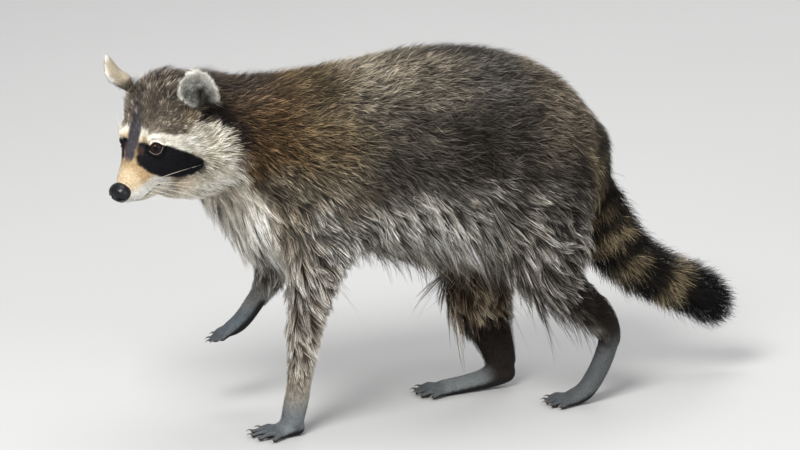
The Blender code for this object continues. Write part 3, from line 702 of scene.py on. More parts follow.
def shape_face(co):
    h = in_head(co)
    a, b, c, r, side = eye_coords(h)
    ball = np.sqrt(np.maximum(EYE_RADIUS**2 - a * a - b * b, 0.0))
    # how far the ball stands at the edge of the opening, and the lid's height beyond it
    scale = 1 / np.maximum(r, 1e-3)
    edge = np.sqrt(np.maximum(EYE_RADIUS**2 - (a * scale) ** 2 - (b * scale) ** 2, 0.0))
    away = (r - 1) * OPEN_UP
    lid = edge + 0.75 - 0.10 * away - 0.035 * away**2 + 0.55 * np.exp(-(((away - 1.6) / 1.1) ** 2)) * (b > 0)
    inside = ball - 2.2
    target = np.where(r < 1, mix(inside, edge + 0.75, ramp(0.86, 1.0, r)), mix(lid, c, ramp(1.25, 2.3, r)))
    near = (r < 2.3) & (c > -6) & (np.abs(a) < 16)
    change = np.where(near, target - c, 0.0)
    flip = np.stack([np.ones(len(h)), side, np.ones(len(h))], axis=1)
    h = h + (EYE_OUT * flip) * change[:, None]
    # a fold above the upper lid
    fold = np.exp(-(((away - 4.3) / 0.9) ** 2)) * (b > 0) * near * 0.5
    h = h - (EYE_OUT * flip) * fold[:, None]
    # the mouth's line, and the upper lip over it
    mirrored = h * np.array((1, 1, 1))
    mirrored[:, 1] = np.abs(mirrored[:, 1])
    dist, arc = nearest_on(mirrored, MOUTH)
    fade = ramp(44, 34, arc) * (h[:, 0] > -50)
    centre = np.array((-22, 0, -6.0))
    outward = unit(h - centre)
    h = h - outward * (1.9 * np.exp(-((dist / 1.1) ** 2)) * fade)[:, None]
    lip = np.exp(-(((dist - 3.0) / 1.8) ** 2)) * (h[:, 2] > -13.5) * fade
    h = h + outward * (0.5 * lip)[:, None]
    return at_head(h)


co = coords(skin)
co = shape_face(co)
h = in_head(co)
# the ear's hollow runs down into the head
for side in (-1, 1):
    foot, across, opening, up = ear_axes(side)
    q = h - foot
    t, o, s = q @ across, q @ opening, q @ up
    hole = np.exp(-(((t + 4.5) / 5.0) ** 2) - (((s - 9) / 9.0) ** 2)) * (o > -4) * (o < 16)
    h = h - (opening * 4.5) * hole[:, None] * (np.abs(o) < 16)[:, None]
co = flatten_soles(at_head(h))
put_coords(skin, co)
print("skin", len(skin.vertices), "points", len(skin.polygons), "faces")

# ------------------------------------------------------------- where each point is on the body
LEGS = {
    "fore_left": FORE_LEFT + [(48.5, -160, 6, 12, 7, 0.5)],
    "fore_right": FORE_RIGHT + [(-49, -188, 78, 11, 5, 0.5)],
    "hind_left": HIND_LEFT + FOOT_LEFT[1:] + [(43, 148, 5, 14, 6, 0.5)],
    "hind_right": HIND_RIGHT + [(-35, 96, 10, 12.5, 10.5, 0.6), (-34, 62, 6, 15, 8.4, 0.5), (-34, 35, 5, 14, 6, 0.5)],
}


def along(p, rows):
    """(arc length, distance over the radius there, tangent) of the nearest place on a run of rows."""
    rows = np.array(rows, float)
    a, b = rows[:-1, :3], rows[1:, :3]
    d = b - a
    length = np.linalg.norm(d, axis=1)
    starts = np.concatenate([[0], np.cumsum(length)])[:-1]
    radius = rows[:, 3:5].mean(axis=1)
    best = np.full(len(p), 1e9)
    arc, ratio = np.zeros(len(p)), np.zeros(len(p))
    way = np.zeros((len(p), 3))
    for i in range(len(d)):
        t = np.clip((p - a[i]) @ d[i] / length[i] ** 2, 0, 1)
        dist = np.linalg.norm(p - a[i] - t[:, None] * d[i], axis=1)
        r = radius[i] + (radius[i + 1] - radius[i]) * t
        closer = dist / r < best
        best = np.where(closer, dist / r, best)
        arc = np.where(closer, starts[i] + t * length[i], arc)
        way = np.where(closer[:, None], d[i] / length[i], way)
    return arc, best, way


class Place:
    """Soft shares of the body's parts at some points, with the numbers that markings and coat need."""

    def __init__(self, p, n):
        self.p, self.n = p, n
        h = self.h = in_head(p)
        self.f, self.l, self.u = h.T
        self.al = np.abs(self.l)
        limit = -106 + 0.5 * np.clip(-self.u - 25, 0, 60)
        self.head = ramp(-7, 7, self.f - limit) * ramp(-102, -88, self.u) * (p[:, 1] < -165)
        self.tail_s, ratio, self.tail_way = along(p, TAIL)
        self.tail = ramp(1.5, 1.08, ratio) * ramp(14, 46, self.tail_s) * (p[:, 1] > 150)
        self.legs = {}
        self.leg = np.zeros(len(p))
        self.leg_way = np.zeros((len(p), 3))
        self.below = np.full(len(p), 999.0)   # height that sets the leg's coat
        for name, rows in LEGS.items():
            s, ratio, way = along(p, rows)
            high = (175, 240) if "hind" in name else (165, 235)
            share = ramp(1.7, 1.15, ratio) * ramp(high[1], high[0], p[:, 2]) * (1 - self.head)
            share = share * np.where(p[:, 2] < 128, 1.0, ramp(1.5, 1.0, ratio))
            left = p[:, 0] > 0
            foot = {
                "fore_left": left & (p[:, 2] < 34) & (p[:, 1] < -60),
                "fore_right": ~left & (p[:, 2] < 118) & (p[:, 1] < -146),
                "hind_left": left & (p[:, 2] < 34) & (p[:, 1] > 60),
                "hind_right": ~left & (p[:, 2] < 34) & (p[:, 1] > -20),
            }[name]
            share = np.where(foot, 1.0, share)
            self.legs[name] = (share, s, ratio)
            self.leg_way += way * share[:, None]
            self.leg = np.maximum(self.leg, share)
        self.leg = self.leg * (1 - self.tail)
        self.high = np.clip((p[:, 2] - 258) / 100, -1.2, 1.2)
        self.neck = ramp(-105, -165, p[:, 1]) * (1 - self.head)
        self.ear = np.zeros(len(p))
        self.ear_in = np.zeros(len(p))
        self.ear_s = np.zeros(len(p))
        self.ear_t = np.zeros(len(p))
        self.ear_x = np.zeros(len(p))
        self.ear_way = np.zeros((len(p), 3))
        self.ear_back = np.zeros(len(p))
        for side in (-1, 1):
            foot, across, opening, up = ear_axes(side)
            q = h - foot
            s = q @ up / (EAR_TALL[side] - 2.6)
            w = ear_width(s, 1)
            t, o = (q @ across + ear_shift(s)) / w, q @ opening
            mid = (EAR_CUP + 1.5) * (0.55 + 0.45 * (1 - s)) * t * t * (w / (EAR_HALF_WIDTH - 2.4)) - 3 * s * s
            share = ramp(0.02, 0.16, s) * (np.abs(t) < 1.5) * (np.abs(o - mid) < 11) * (s < 1.25) * (side * self.l > 20)
            inner = in_way(n) @ opening + 0.45 * (o - mid)
            inside = share * ramp(-0.3, 0.3, inner)
            self.ear = np.maximum(self.ear, share)
            self.ear_in = np.maximum(self.ear_in, inside)
            self.ear_back = np.maximum(self.ear_back, share - inside)
            self.ear_s = np.where(share > 0, s, self.ear_s)
            self.ear_t = np.where(share > 0, t, self.ear_t)
            self.ear_x = np.where(share > 0, q @ across, self.ear_x)
            # inside, the hair grows up and outwards from the opening
            fan = unit(up[None] * np.clip(s - 0.05, 0.15, 1)[:, None] + across[None] * (0.55 * t)[:, None])
            self.ear_way = np.where(share[:, None] > 0, head_way(fan), self.ear_way)
        self.ear_hole = self.ear_in * np.maximum(
            np.exp(-(((self.ear_x + 3.2) / 3.4) ** 2)) * ramp(0.60, 0.40, self.ear_s),
            ramp(1.2, 0.6, np.hypot((self.ear_x + 4.0) / 7.0, (self.ear_s - 0.06) / 0.13)),
        )
        foot, across, opening, up = ear_axes(1)
        self.tuck = ramp(1.25, 0.6, blob(h, foot + across * 12 + opening * 5 - up * 3, (11, 11, 10))) * self.head * (1 - self.ear)
        a, b, c, r, side = eye_coords(h)
        self.eye_a, self.eye_b, self.eye_c, self.eye_r = a, b, c, r
        self.at_eye = (c > -9) & (np.abs(a) < 60) & (self.head > 0.5)


def in_way(v):
    return v @ HEAD_AXES.T


# ------------------------------------------------------------- markings
BLACK = (0.010, 0.010, 0.012)
MASK = (0.012, 0.012, 0.015)
WHITE = (0.66, 0.62, 0.52)
CREAM = (0.56, 0.48, 0.34)
GREY_WHITE = (0.50, 0.48, 0.42)
TAN = (0.46, 0.29, 0.13)
RUFOUS = (0.17, 0.088, 0.036)
OCHRE = (0.34, 0.22, 0.10)
BROWN = (0.060, 0.045, 0.034)
GREY = (0.15, 0.14, 0.13)
SLATE = (0.085, 0.105, 0.125)
SILVER = (0.44, 0.42, 0.37)
DARK = (0.022, 0.018, 0.015)


def blob(h, centre, half):
    """Distance from a centre over the half sizes, both sides of the head alike."""
    q = np.stack([h[:, 0], np.abs(h[:, 1]), h[:, 2]], axis=1) - np.array(centre, float)
    return np.linalg.norm(q / np.array(half, float), axis=1)


def streak(h, path, width):
    """How much a place lies on a path of head points, both sides alike."""
    q = np.stack([h[:, 0], np.abs(h[:, 1]), h[:, 2]], axis=1)
    d, arc = nearest_on(q, np.array(path, float))
    return d / width, arc


def inside(x, y, corners):
    """Signed distance, positive inside, of places from a closed outline."""
    best = np.full(len(x), 1e9)
    odd = np.zeros(len(x), bool)
    for (x0, y0), (x1, y1) in zip(corners, corners[1:] + corners[:1]):
        dx, dy = x1 - x0, y1 - y0
        t = np.clip(((x - x0) * dx + (y - y0) * dy) / (dx * dx + dy * dy), 0, 1)
        best = np.minimum(best, np.hypot(x - x0 - t * dx, y - y0 - t * dy))
        cross = (y0 > y) != (y1 > y)
        with np.errstate(divide="ignore", invalid="ignore"):
            odd ^= cross & (x < x0 + (y - y0) * dx / np.where(dy == 0, 1e-9, dy))
    return np.where(odd, best, -best)


# outlines on the side of the head, as forward and up
MASK_EDGE = [
    (-27, 17), (-30.5, 5), (-38, -5), (-49, -12.5), (-61, -17.5), (-70, -16.5), (-74.0, -8), (-68.0, 5.0),
    (-57, 20.5), (-51, 27), (-45, 31.5), (-41, 31.5), (-36, 28.5), (-31, 23),
]
BROW_EDGE = [
    (-31, 24), (-36, 28.5), (-41, 31.5), (-45, 31.5), (-51, 27), (-57, 20.5), (-66.5, 6.6), (-76, 0), (-82, 22),
    (-73, 24), (-64.7, 29), (-58, 35), (-51.3, 39.5), (-45, 39), (-39, 35.5), (-33, 30),
]


def markings(P):
    """(underfur, pale hair, dark hair, share of pale hair) at each place."""
    p = P.p
    n = len(p)
    low = noise(p, 38, 3)
    mid = noise(p, 15, 4)

    under = np.tile(np.array(BROWN), (n, 1))
    pale = np.tile(np.array((0.26, 0.215, 0.155)), (n, 1))
    dark = np.tile(np.array(DARK), (n, 1))
    share = np.full(n, 0.44)

    def lay(mask, a, b, c, d):
        nonlocal under, pale, dark, share
        mask = np.clip(mask, 0, 1)
        under = mix(under, np.array(a), mask)
        pale = mix(pale, np.array(b), mask)
        dark = mix(dark, np.array(c), mask)
        share = mix(share, d, mask)

    s = P.high

    def coat(mask, tone, spread=1.0, part=0.42):
        """A grizzled coat of one mean tone."""
        tone = np.array(tone)
        lay(mask, tone * 0.38, tone * (1 + 2.85 * spread), tone * max(0.20 - 0.10 * spread, 0.07), part * 0.80)

    # trunk: dark in the middle of the side, lighter along the back (its own tone, partly painted light from above and
    # sheen), silver below
    coat(np.ones(n), (0.036, 0.031, 0.025))
    rear_dark = 1 - 0.55 * ramp(85, 125, p[:, 1]) * ramp(176, 212, p[:, 2])
    coat(ramp(0.16, -0.45, s + 0.35 * (mid - 0.5) + 0.25 * (low - 0.5)) * rear_dark, (0.175, 0.162, 0.138), 1.15, 0.47)
    coat(ramp(-0.25, -0.85, s) * rear_dark, (0.28, 0.262, 0.225), 1.2, 0.50)
    # the band along the back is lighter than the side: partly its own tone, partly painted light from above
    coat(ramp(0.55, 0.85, s + 0.2 * (low - 0.5)), (0.064, 0.058, 0.050), 1.05)
    coat(ramp(40, -80, p[:, 1]) * ramp(-0.2, 0.3, s), (0.090, 0.078, 0.060))
    # the lighter, ochre saddle behind the shoulders: ochre of its own, partly painted light from above and sheen
    saddle_and_top_light = ramp(70, -10, p[:, 1]) * ramp(-150, -95, p[:, 1]) * ramp(0.56, 0.90, s + 0.30 * (low - 0.5))
    coat(saddle_and_top_light, (0.185, 0.157, 0.116), 1.15, 0.48)
    coat(ramp(0.98, 1.10, s + 0.06 * (low - 0.5)), (0.040, 0.034, 0.029), 0.8, 0.3)
    # shoulder and neck: dark rufous with ochre tips
    coat(ramp(-50, -105, p[:, 1]) * ramp(-0.35, 0.0, s), (0.118, 0.098, 0.070), 1.15, 0.46)
    warm = ramp(-58, -118, p[:, 1] + 46 * (low - 0.5)) * ramp(-0.02, 0.42, s + 0.25 * (mid - 0.5)) * ramp(1.10, 0.92, s)
    coat(warm, (0.104, 0.075, 0.040), 1.2, 0.44)
    silver = ramp(0.10, -0.62, s + 0.35 * (mid - 0.5) + 0.3 * (low - 0.5)) * ramp(-150, -112, p[:, 1]) * ramp(70, 0, p[:, 1])
    coat(silver, (0.31, 0.293, 0.255), 1.15, 0.50)
    coat(ramp(-118, -150, p[:, 1]) * ramp(0.30, -0.05, s), (0.135, 0.112, 0.082), 1.15, 0.48)
    neck = ramp(-118, -150, p[:, 1]) * ramp(0.02, 0.36, s + 0.2 * (mid - 0.5))
    coat(neck, (0.088, 0.055, 0.026), 1.15, 0.42)
    nape = ramp(-120, -175, p[:, 1]) * ramp(0.62, 0.98, s)
    coat(nape, (0.060, 0.044, 0.032), 0.9, 0.35)
    # chest and throat: cream
    chest = ramp(222, 196, p[:, 2]) * ramp(-118, -160, p[:, 1]) * ramp(0.10, -0.36, s + 0.2 * (mid - 0.5) - 0.0022 * np.clip(-p[:, 1] - 170, -60, 60))
    edge = p[:, 1] - np.interp(p[:, 2], (188, 215, 240, 263, 298), (-143, -152, -157, -180, -201)) + 14 * (mid - 0.5)
    chest = np.maximum(chest, ramp(6, -8, edge) * ramp(306, 284, p[:, 2]))
    lay(chest, (0.78, 0.71, 0.57), (0.99, 0.96, 0.86), (0.40, 0.33, 0.24), 0.93)
    under_belly = ramp(-0.45, -0.9, P.n[:, 2]) * ramp(215, 185, p[:, 2]) * ramp(-170, -120, p[:, 1]) * (1 - P.leg)
    lay(under_belly * 0.75, (0.10, 0.08, 0.058), (0.36, 0.31, 0.23), (0.045, 0.036, 0.028), 0.50)
    # rump and the tail's root
    rump = ramp(80, 130, p[:, 1]) * ramp(0.0, 0.35, s)
    coat(rump * 0.85, (0.122, 0.101, 0.074), 1.05, 0.42)
    rump = ramp(150, 178, p[:, 1]) * ramp(0.55, 0.0, s) * ramp(64, 34, np.abs(p[:, 0]))
    coat(rump, (0.046, 0.037, 0.024), 1.05, 0.34)

    # beside the tail's root it is nearly black, with a row of tan patches
    root_side = ramp(150, 172, p[:, 1]) * ramp(280, 262, p[:, 2]) * ramp(150, 175, p[:, 2]) * ramp(6, 22, np.abs(p[:, 0])) * (1 - P.leg)
    coat(root_side * 0.8, (0.046, 0.036, 0.024), 1.0, 0.34)
    for x, y, z in ((66, 163, 270), (53, 179, 249), (37, 195, 228), (28, 206, 206)):
        spot = np.linalg.norm((np.stack([np.abs(p[:, 0]), p[:, 1], p[:, 2]], axis=1) - (x, y, z)) / (12, 11, 10), axis=1)
        lay(ramp(1.50, 0.50, spot + 1.0 * (mid - 0.5)) * 0.90, (0.145, 0.117, 0.063), (0.63, 0.52, 0.31), (0.040, 0.030, 0.018), 0.56)

    # legs
    for name, (w, arc, ratio) in P.legs.items():
        z = p[:, 2]
        if name == "fore_left":
            lay(w * ramp(232, 178, z), (0.060, 0.040, 0.026), (0.98, 0.92, 0.81), (0.034, 0.022, 0.014), 0.60)
            lay(w * ramp(176, 128, z), (0.105, 0.080, 0.057), (1.0, 0.92, 0.78), (0.060, 0.043, 0.030), 0.70)
            lay(w * ramp(104, 66, z), (0.155, 0.128, 0.098), (0.86, 0.76, 0.61), (0.072, 0.058, 0.045), 0.61)
            lay(w * ramp(58, 18, z), (0.12, 0.132, 0.138), (0.25, 0.272, 0.28), (0.07, 0.078, 0.083), 0.50)
        elif name == "fore_right":
            lay(w * ramp(232, 178, z), (0.080, 0.062, 0.048), (0.90, 0.85, 0.74), (0.055, 0.042, 0.033), 0.62)
            lay(w * ramp(144, 124, z), (0.19, 0.187, 0.172), (0.48, 0.48, 0.44), (0.10, 0.10, 0.096), 0.53)
            lay(w * ramp(118, 100, z), (0.085, 0.100, 0.112), (0.19, 0.218, 0.235), (0.05, 0.059, 0.066), 0.48)
        elif name == "hind_left":
            lay(w * ramp(232, 178, z), (0.032, 0.026, 0.020), (0.80, 0.74, 0.65), (0.016, 0.012, 0.010), 0.54)
            front = ramp(0.0, -0.6, P.n[:, 1]) * ramp(62, 82, z)
            lay(w * ramp(136, 110, z + 0.45 * (150 - p[:, 1])) * (1 - 0.9 * front), (0.016, 0.012, 0.010), (0.060, 0.044, 0.032), (0.007, 0.006, 0.005), 0.22)
            lay(w * ramp(80, 50, z - 0.5 * (p[:, 1] - 205)), (0.070, 0.075, 0.077), (0.16, 0.167, 0.168), (0.036, 0.039, 0.041), 0.46)
        else:
            lay(w * ramp(232, 178, z), (0.050, 0.031, 0.018), (0.92, 0.71, 0.47), (0.027, 0.016, 0.009), 0.55)
            lay(w * ramp(96, 66, z), (0.016, 0.012, 0.010), (0.060, 0.044, 0.032), (0.007, 0.006, 0.005), 0.22)
            lay(w * ramp(34, 20, z) * ramp(112, 92, p[:, 1]), (0.11, 0.120, 0.118), (0.25, 0.27, 0.265), (0.07, 0.077, 0.077), 0.50)
    # toes are darker, pads and soles bare and black
    toe = P.leg * np.where(p[:, 0] > 0, np.where(p[:, 1] < 0, ramp(-146, -158, p[:, 1]), ramp(164, 152, p[:, 1])), np.where(p[:, 1] < 0, ramp(-172, -184, p[:, 1]), ramp(56, 44, p[:, 1])))
    toe = toe * ((p[:, 2] < 24) | ((p[:, 1] < -160) & (p[:, 2] < 104) & (p[:, 0] < 0)))
    lay(toe * 0.7, (0.050, 0.056, 0.060), (0.12, 0.132, 0.14), (0.028, 0.032, 0.035), 0.45)
    low_paw = (p[:, 0] < 0) & (p[:, 1] < -132) & (p[:, 2] < 122)
    sole = P.leg * np.where(low_paw, ramp(0.35, -0.25, P.n[:, 2] - 0.45 * P.n[:, 1] + 0.3 * (mid - 0.5)) * ramp(121, 110, p[:, 2]), ramp(0.15, -0.45, P.n[:, 2]) * ramp(16, 7, p[:, 2]))
    sole = sole * ((p[:, 2] < 22) | low_paw)
    lay(sole, (0.012, 0.012, 0.013), (0.02, 0.02, 0.021), (0.008, 0.008, 0.008), 0.5)
    P.sole = sole

    # tail rings, along its length from the root
    ring = np.zeros(n)
    t = P.tail_s + 3.0 * (mid - 0.5)
    for centre, half, strength in ((20, 6, 0.45), (58, 6, 0.42), (87, 7.5, 0.90), (127, 8.5, 0.85), (181, 9.5, 0.95)):
        ring = np.maximum(ring, strength * ramp(half + 4.0, half - 3.0, np.abs(t - centre)))
    tail = P.tail
    lay(tail, (0.012, 0.010, 0.008), (0.032, 0.024, 0.016), (0.005, 0.0045, 0.004), 0.22)
    # the tail's upper ridge stays dark between the rings
    ridge = ramp(0.38, 0.72, dot(P.n, np.array((0, 0.80, 0.60)))) * (0.35 + 0.65 * ramp(178, 130, P.tail_s))
    lay(tail * ring * (1 - 0.92 * ridge), (0.13, 0.098, 0.055), (0.47, 0.37, 0.225), (0.042, 0.030, 0.017), 0.56)
    lay(tail * ramp(192, 199, t), (0.007, 0.006, 0.006), (0.014, 0.011, 0.009), (0.004, 0.004, 0.004), 0.25)

    # head
    h, f, l, u, al = P.h, P.f, P.l, P.u, P.al
    head = P.head
    lay(head, (0.062, 0.048, 0.035), (0.66, 0.54, 0.41), (0.016, 0.013, 0.011), 0.33)
    # the crown is darker, with streaks that run back above the brow
    lay(head * ramp(38, 62, u) * ramp(-60, -95, f) * 0.7, (0.04, 0.031, 0.024), (0.36, 0.29, 0.21), (0.012, 0.010, 0.009), 0.30)
    streaks, _ = streak(h, ((-50, 11, 46), (-66, 15, 58), (-84, 19, 66), (-100, 22, 70)), 5.0)
    lay(head * ramp(1.5, 0.5, streaks) * 0.55, (0.03, 0.024, 0.02), (0.12, 0.10, 0.075), (0.010, 0.009, 0.009), 0.25)
    crown = ramp(1.25, 0.35, blob(h, (-74, -8, 44), (20, 14, 18)) + 0.7 * (noise(p, 7, 13) - 0.5))
    lay(head * crown * 0.62, (0.034, 0.028, 0.026), (0.16, 0.135, 0.11), (0.011, 0.010, 0.010), 0.28)
    # cheeks: cream-white ruff behind the mask, down to the throat
    edge = 0.55 * (noise(p, 6, 14) - 0.5) * ramp(0, 14, u)
    ruff = np.maximum(ramp(1.16, 0.74, blob(h, (-77, 54, 0), (20, 26, 34)) + edge), ramp(1.1, 0.85, blob(h, (-68, 40, -42), (30, 32, 30))))
    ruff = ruff * ramp(34, 20, u - 0.12 * (f + 90))
    lay(head * ruff, (0.53, 0.475, 0.355), (0.94, 0.88, 0.73), (0.31, 0.265, 0.195), 0.87)
    lay(head * ramp(-24, -40, u) * ramp(-30, -54, f), (0.88, 0.80, 0.65), (1.0, 0.97, 0.86), (0.52, 0.45, 0.34), 0.92)
    # below the mask the cheek is reddish brown and cream mixed
    lay(head * ramp(1.15, 0.7, blob(h, (-50, 36, -24), (15, 14, 8))) * 0.65, (0.44, 0.325, 0.22), (0.90, 0.78, 0.59), (0.23, 0.155, 0.105), 0.78)
    # the white brow, from beside the bridge back over the eye into the ruff
    ahead = f - 1.8
    ragged = 1.6 * (noise(p, 3, 9) - 0.5)
    middle = np.abs(l + np.interp(f, (-60, -54, -38, -30), (7.0, 6.5, 2.0, 0.5)))
    brow = ramp(-1.0, 1.2, inside(ahead, u, BROW_EDGE) + ragged) * ramp(5.5, 8.0, middle)
    lay(head * brow, (0.72, 0.68, 0.57), (0.95, 0.92, 0.81), (0.60, 0.55, 0.44), 0.94)
    warm_front = ramp(1.15, 0.6, blob(h, (-39, 11, 35), (10, 9, 9)))
    lay(head * brow * warm_front, (0.54, 0.42, 0.25), (0.84, 0.69, 0.44), (0.36, 0.25, 0.14), 0.88)
    # muzzle: tan above, white at the sides, pale below
    muzzle = head * ramp(-47, -36, f)
    lay(muzzle * ramp(-19, -13, u), (0.30, 0.205, 0.105), (0.62, 0.44, 0.245), (0.14, 0.085, 0.04), 0.76)
    lay(muzzle * ramp(-22, -14, f) * ramp(-12, -4, u), (0.44, 0.34, 0.21), (0.72, 0.57, 0.37), (0.28, 0.21, 0.13), 0.85)
    white_side = ramp(4.5, -3.5, u + 0.10 * f + 3.0) * ramp(-46, -38, f)
    lay(head * white_side * ramp(-50, -38, f), (0.44, 0.43, 0.395), (0.67, 0.66, 0.615), (0.28, 0.265, 0.24), 0.90)
    lay(head * ramp(-13.0, -17.5, u) * ramp(-46, -24, f), (0.50, 0.445, 0.345), (0.77, 0.70, 0.57), (0.32, 0.27, 0.205), 0.87)
    # the mask: from the inner corner of the eye back and down across the cheek
    mask = ramp(-0.8, 0.8, inside(ahead, u, MASK_EDGE) + ragged) * ramp(4.0, 6.5, middle)
    mask = mask * (1 - brow)
    lay(head * mask, (0.007, 0.007, 0.009), (0.014, 0.014, 0.018), (0.0035, 0.0035, 0.004), 0.30)
    corner = ramp(1.2, 0.5, blob(h, (-36, 10.5, 25.0), (5, 4.5, 5.5)))
    lay(head * corner * 0.7, (0.060, 0.030, 0.022), (0.12, 0.065, 0.05), (0.03, 0.015, 0.011), 0.5)
    # the dark stripe down the middle, from the forehead to the bridge of the nose
    width = np.interp(f, (-100, -74, -60, -50, -38, -28, -20), (5.0, 6.0, 7.0, 7.6, 8.0, 6.2, 2.5))
    faded = ramp(-46, -76, f)
    stripe = ramp(1.22 + 0.55 * faded, 0.80 - 0.50 * faded, middle / width + 0.8 * faded * (noise(p, 4, 12) - 0.5))
    stripe = stripe * ramp(-20, -28, f) * ramp(2, 10, u) * (0.15 + 0.85 * ramp(-84, -50, f))
    lay(head * stripe, (0.050, 0.047, 0.054), (0.135, 0.125, 0.135), (0.022, 0.021, 0.025), 0.42)
    # black behind the ear, running down the neck behind the ruff
    behind, arc = streak(h, ((-101, 48, 42), (-108, 55, 28), (-111, 62, 10), (-112, 66, -12)), 1.0)
    width = np.interp(arc, (0, 20, 40, 60), (16, 17, 15, 11))
    lay(np.where(p[:, 1] < -150, ramp(1.3, 0.7, behind / width), 0.0), (0.012, 0.010, 0.009), (0.030, 0.023, 0.017), (0.006, 0.005, 0.005), 0.25)

    lay(P.tuck * 0.85, (0.24, 0.18, 0.11), (0.74, 0.62, 0.43), (0.11, 0.08, 0.05), 0.62)
    # ears: white rim, grey inside with painted shade in the opening, tan and dark behind
    lay(P.ear_in, (0.12, 0.119, 0.107), (0.68, 0.67, 0.59), (0.030, 0.029, 0.027), 0.56)
    lay(P.ear_in * ramp(-0.25, -0.6, P.ear_t), (0.34, 0.33, 0.30), (0.72, 0.70, 0.62), (0.20, 0.19, 0.17), 0.8)
    # the opening of the ear's canal is near black: painted shade in the hole
    hole = P.ear_hole
    lay(hole, (0.006, 0.005, 0.005), (0.010, 0.009, 0.008), (0.003, 0.003, 0.003), 0.3)
    lay(P.ear_back, (0.30, 0.245, 0.17), (0.66, 0.575, 0.43), (0.17, 0.13, 0.085), 0.74)
    lay(P.ear_back * ramp(0.30, 0.08, P.ear_s), (0.03, 0.024, 0.02), (0.09, 0.07, 0.05), (0.012, 0.010, 0.009), 0.3)
    low_rim = np.where(P.ear_t > 0, ramp(0.16, 0.46, P.ear_s), ramp(0.02, 0.2, P.ear_s))
    rim = P.ear * np.maximum(ramp(0.66, 0.92, np.abs(P.ear_t)) * low_rim, ramp(0.80, 0.93, P.ear_s))
    lay(rim, (0.62, 0.60, 0.535), (0.90, 0.88, 0.80), (0.40, 0.375, 0.32), 0.92)
    return under, pale, dark, np.clip(share, 0, 1)


# ------------------------------------------------------------- numbers on the skin's points
n_skin = len(skin.vertices)
co, ends = coords(skin), edges_of(skin)
normals = np.empty(n_skin * 3, np.float32)
skin.vertices.foreach_get("normal", normals)
normals = unit(normals.reshape(-1, 3).astype(float))
soft_normals = unit(relax(normals, ends, n_skin, np.full(n_skin, 0.6), 6))
P = Place(co, soft_normals)

# how deep the skin lies under the coat's outline
depth = np.empty(n_skin)
for i, (point, normal) in enumerate(zip(co.tolist(), soft_normals.tolist())):
    hit = outline_tree.ray_cast(point, normal, 40)
    depth[i] = hit[3] if hit[3] is not None else 0.6
depth = relax(depth[:, None], ends, n_skin, np.full(n_skin, 0.5), 8)[:, 0]
depth = np.clip(depth, 0.4, 20)
depth = mix(depth, 1.3, P.ear)


def lie_field(P):
    """The way the hair lies, before it is laid on the skin."""
    p = P.p
    s = P.high
    n = len(p)
    way = np.stack([np.zeros(n), np.ones(n), -(0.12 + 0.95 * ramp(0.95, -0.75, s))], axis=1)
    way[:, 0] = 0.10 * np.sign(p[:, 0]) * ramp(0.3, 1.0, s)
    front = ramp(-135, -175, p[:, 1]) * ramp(0.2, -0.5, s)
    way = mix(way, np.array((0.0, 0.22, -1.0)), front)
    thigh = ramp(40, 100, p[:, 1]) * ramp(-0.05, -0.6, s) * (1 - P.tail)
    way = mix(way, np.array((0.0, 1.15, -1.0)), thigh)
    z = p[:, 2]
    sweep = (
        P.legs["fore_left"][0] * np.interp(z, (20, 60, 95, 130, 200), (0.15, 0.40, 0.80, 1.0, 0.7))
        + P.legs["fore_right"][0] * ramp(110, 150, z) * 0.4
        + P.legs["hind_left"][0] * np.interp(z, (50, 100, 140, 220), (0.10, 0.45, 0.80, 0.9))
        + P.legs["hind_right"][0] * np.interp(z, (50, 100, 160), (0.10, 0.20, 0.40))
    )
    leg = unit(P.leg_way + 1e-6) + np.array((0.0, 1.0, 0.0)) * sweep[:, None]
    way = mix(unit(way), leg, P.leg * ramp(200, 140, p[:, 2]))
    way = mix(way, P.tail_way, P.tail)
    # head: back from the nose, down over the cheeks
    cheek = ramp(10, -30, P.u) * ramp(-30, -60, P.f)
    out = head_way(np.stack([-np.ones(n), 0.25 * np.sign(P.l) * ramp(-20, -60, P.f), -0.9 * cheek], axis=1))
    way = mix(way, unit(out), P.head)
    way = mix(way, np.tile(head_way(np.array([[-0.62, 0.10, 0.80]])), (n, 1)), P.tuck)
    way = mix(way, P.ear_way, P.ear)
    return unit(way)


lie = lie_field(P)
lie = unit(relax(lie, ends, n_skin, np.full(n_skin, 0.6) * (1 - P.ear), 10))
lie = unit(lie - soft_normals * dot(lie, soft_normals)[:, None])


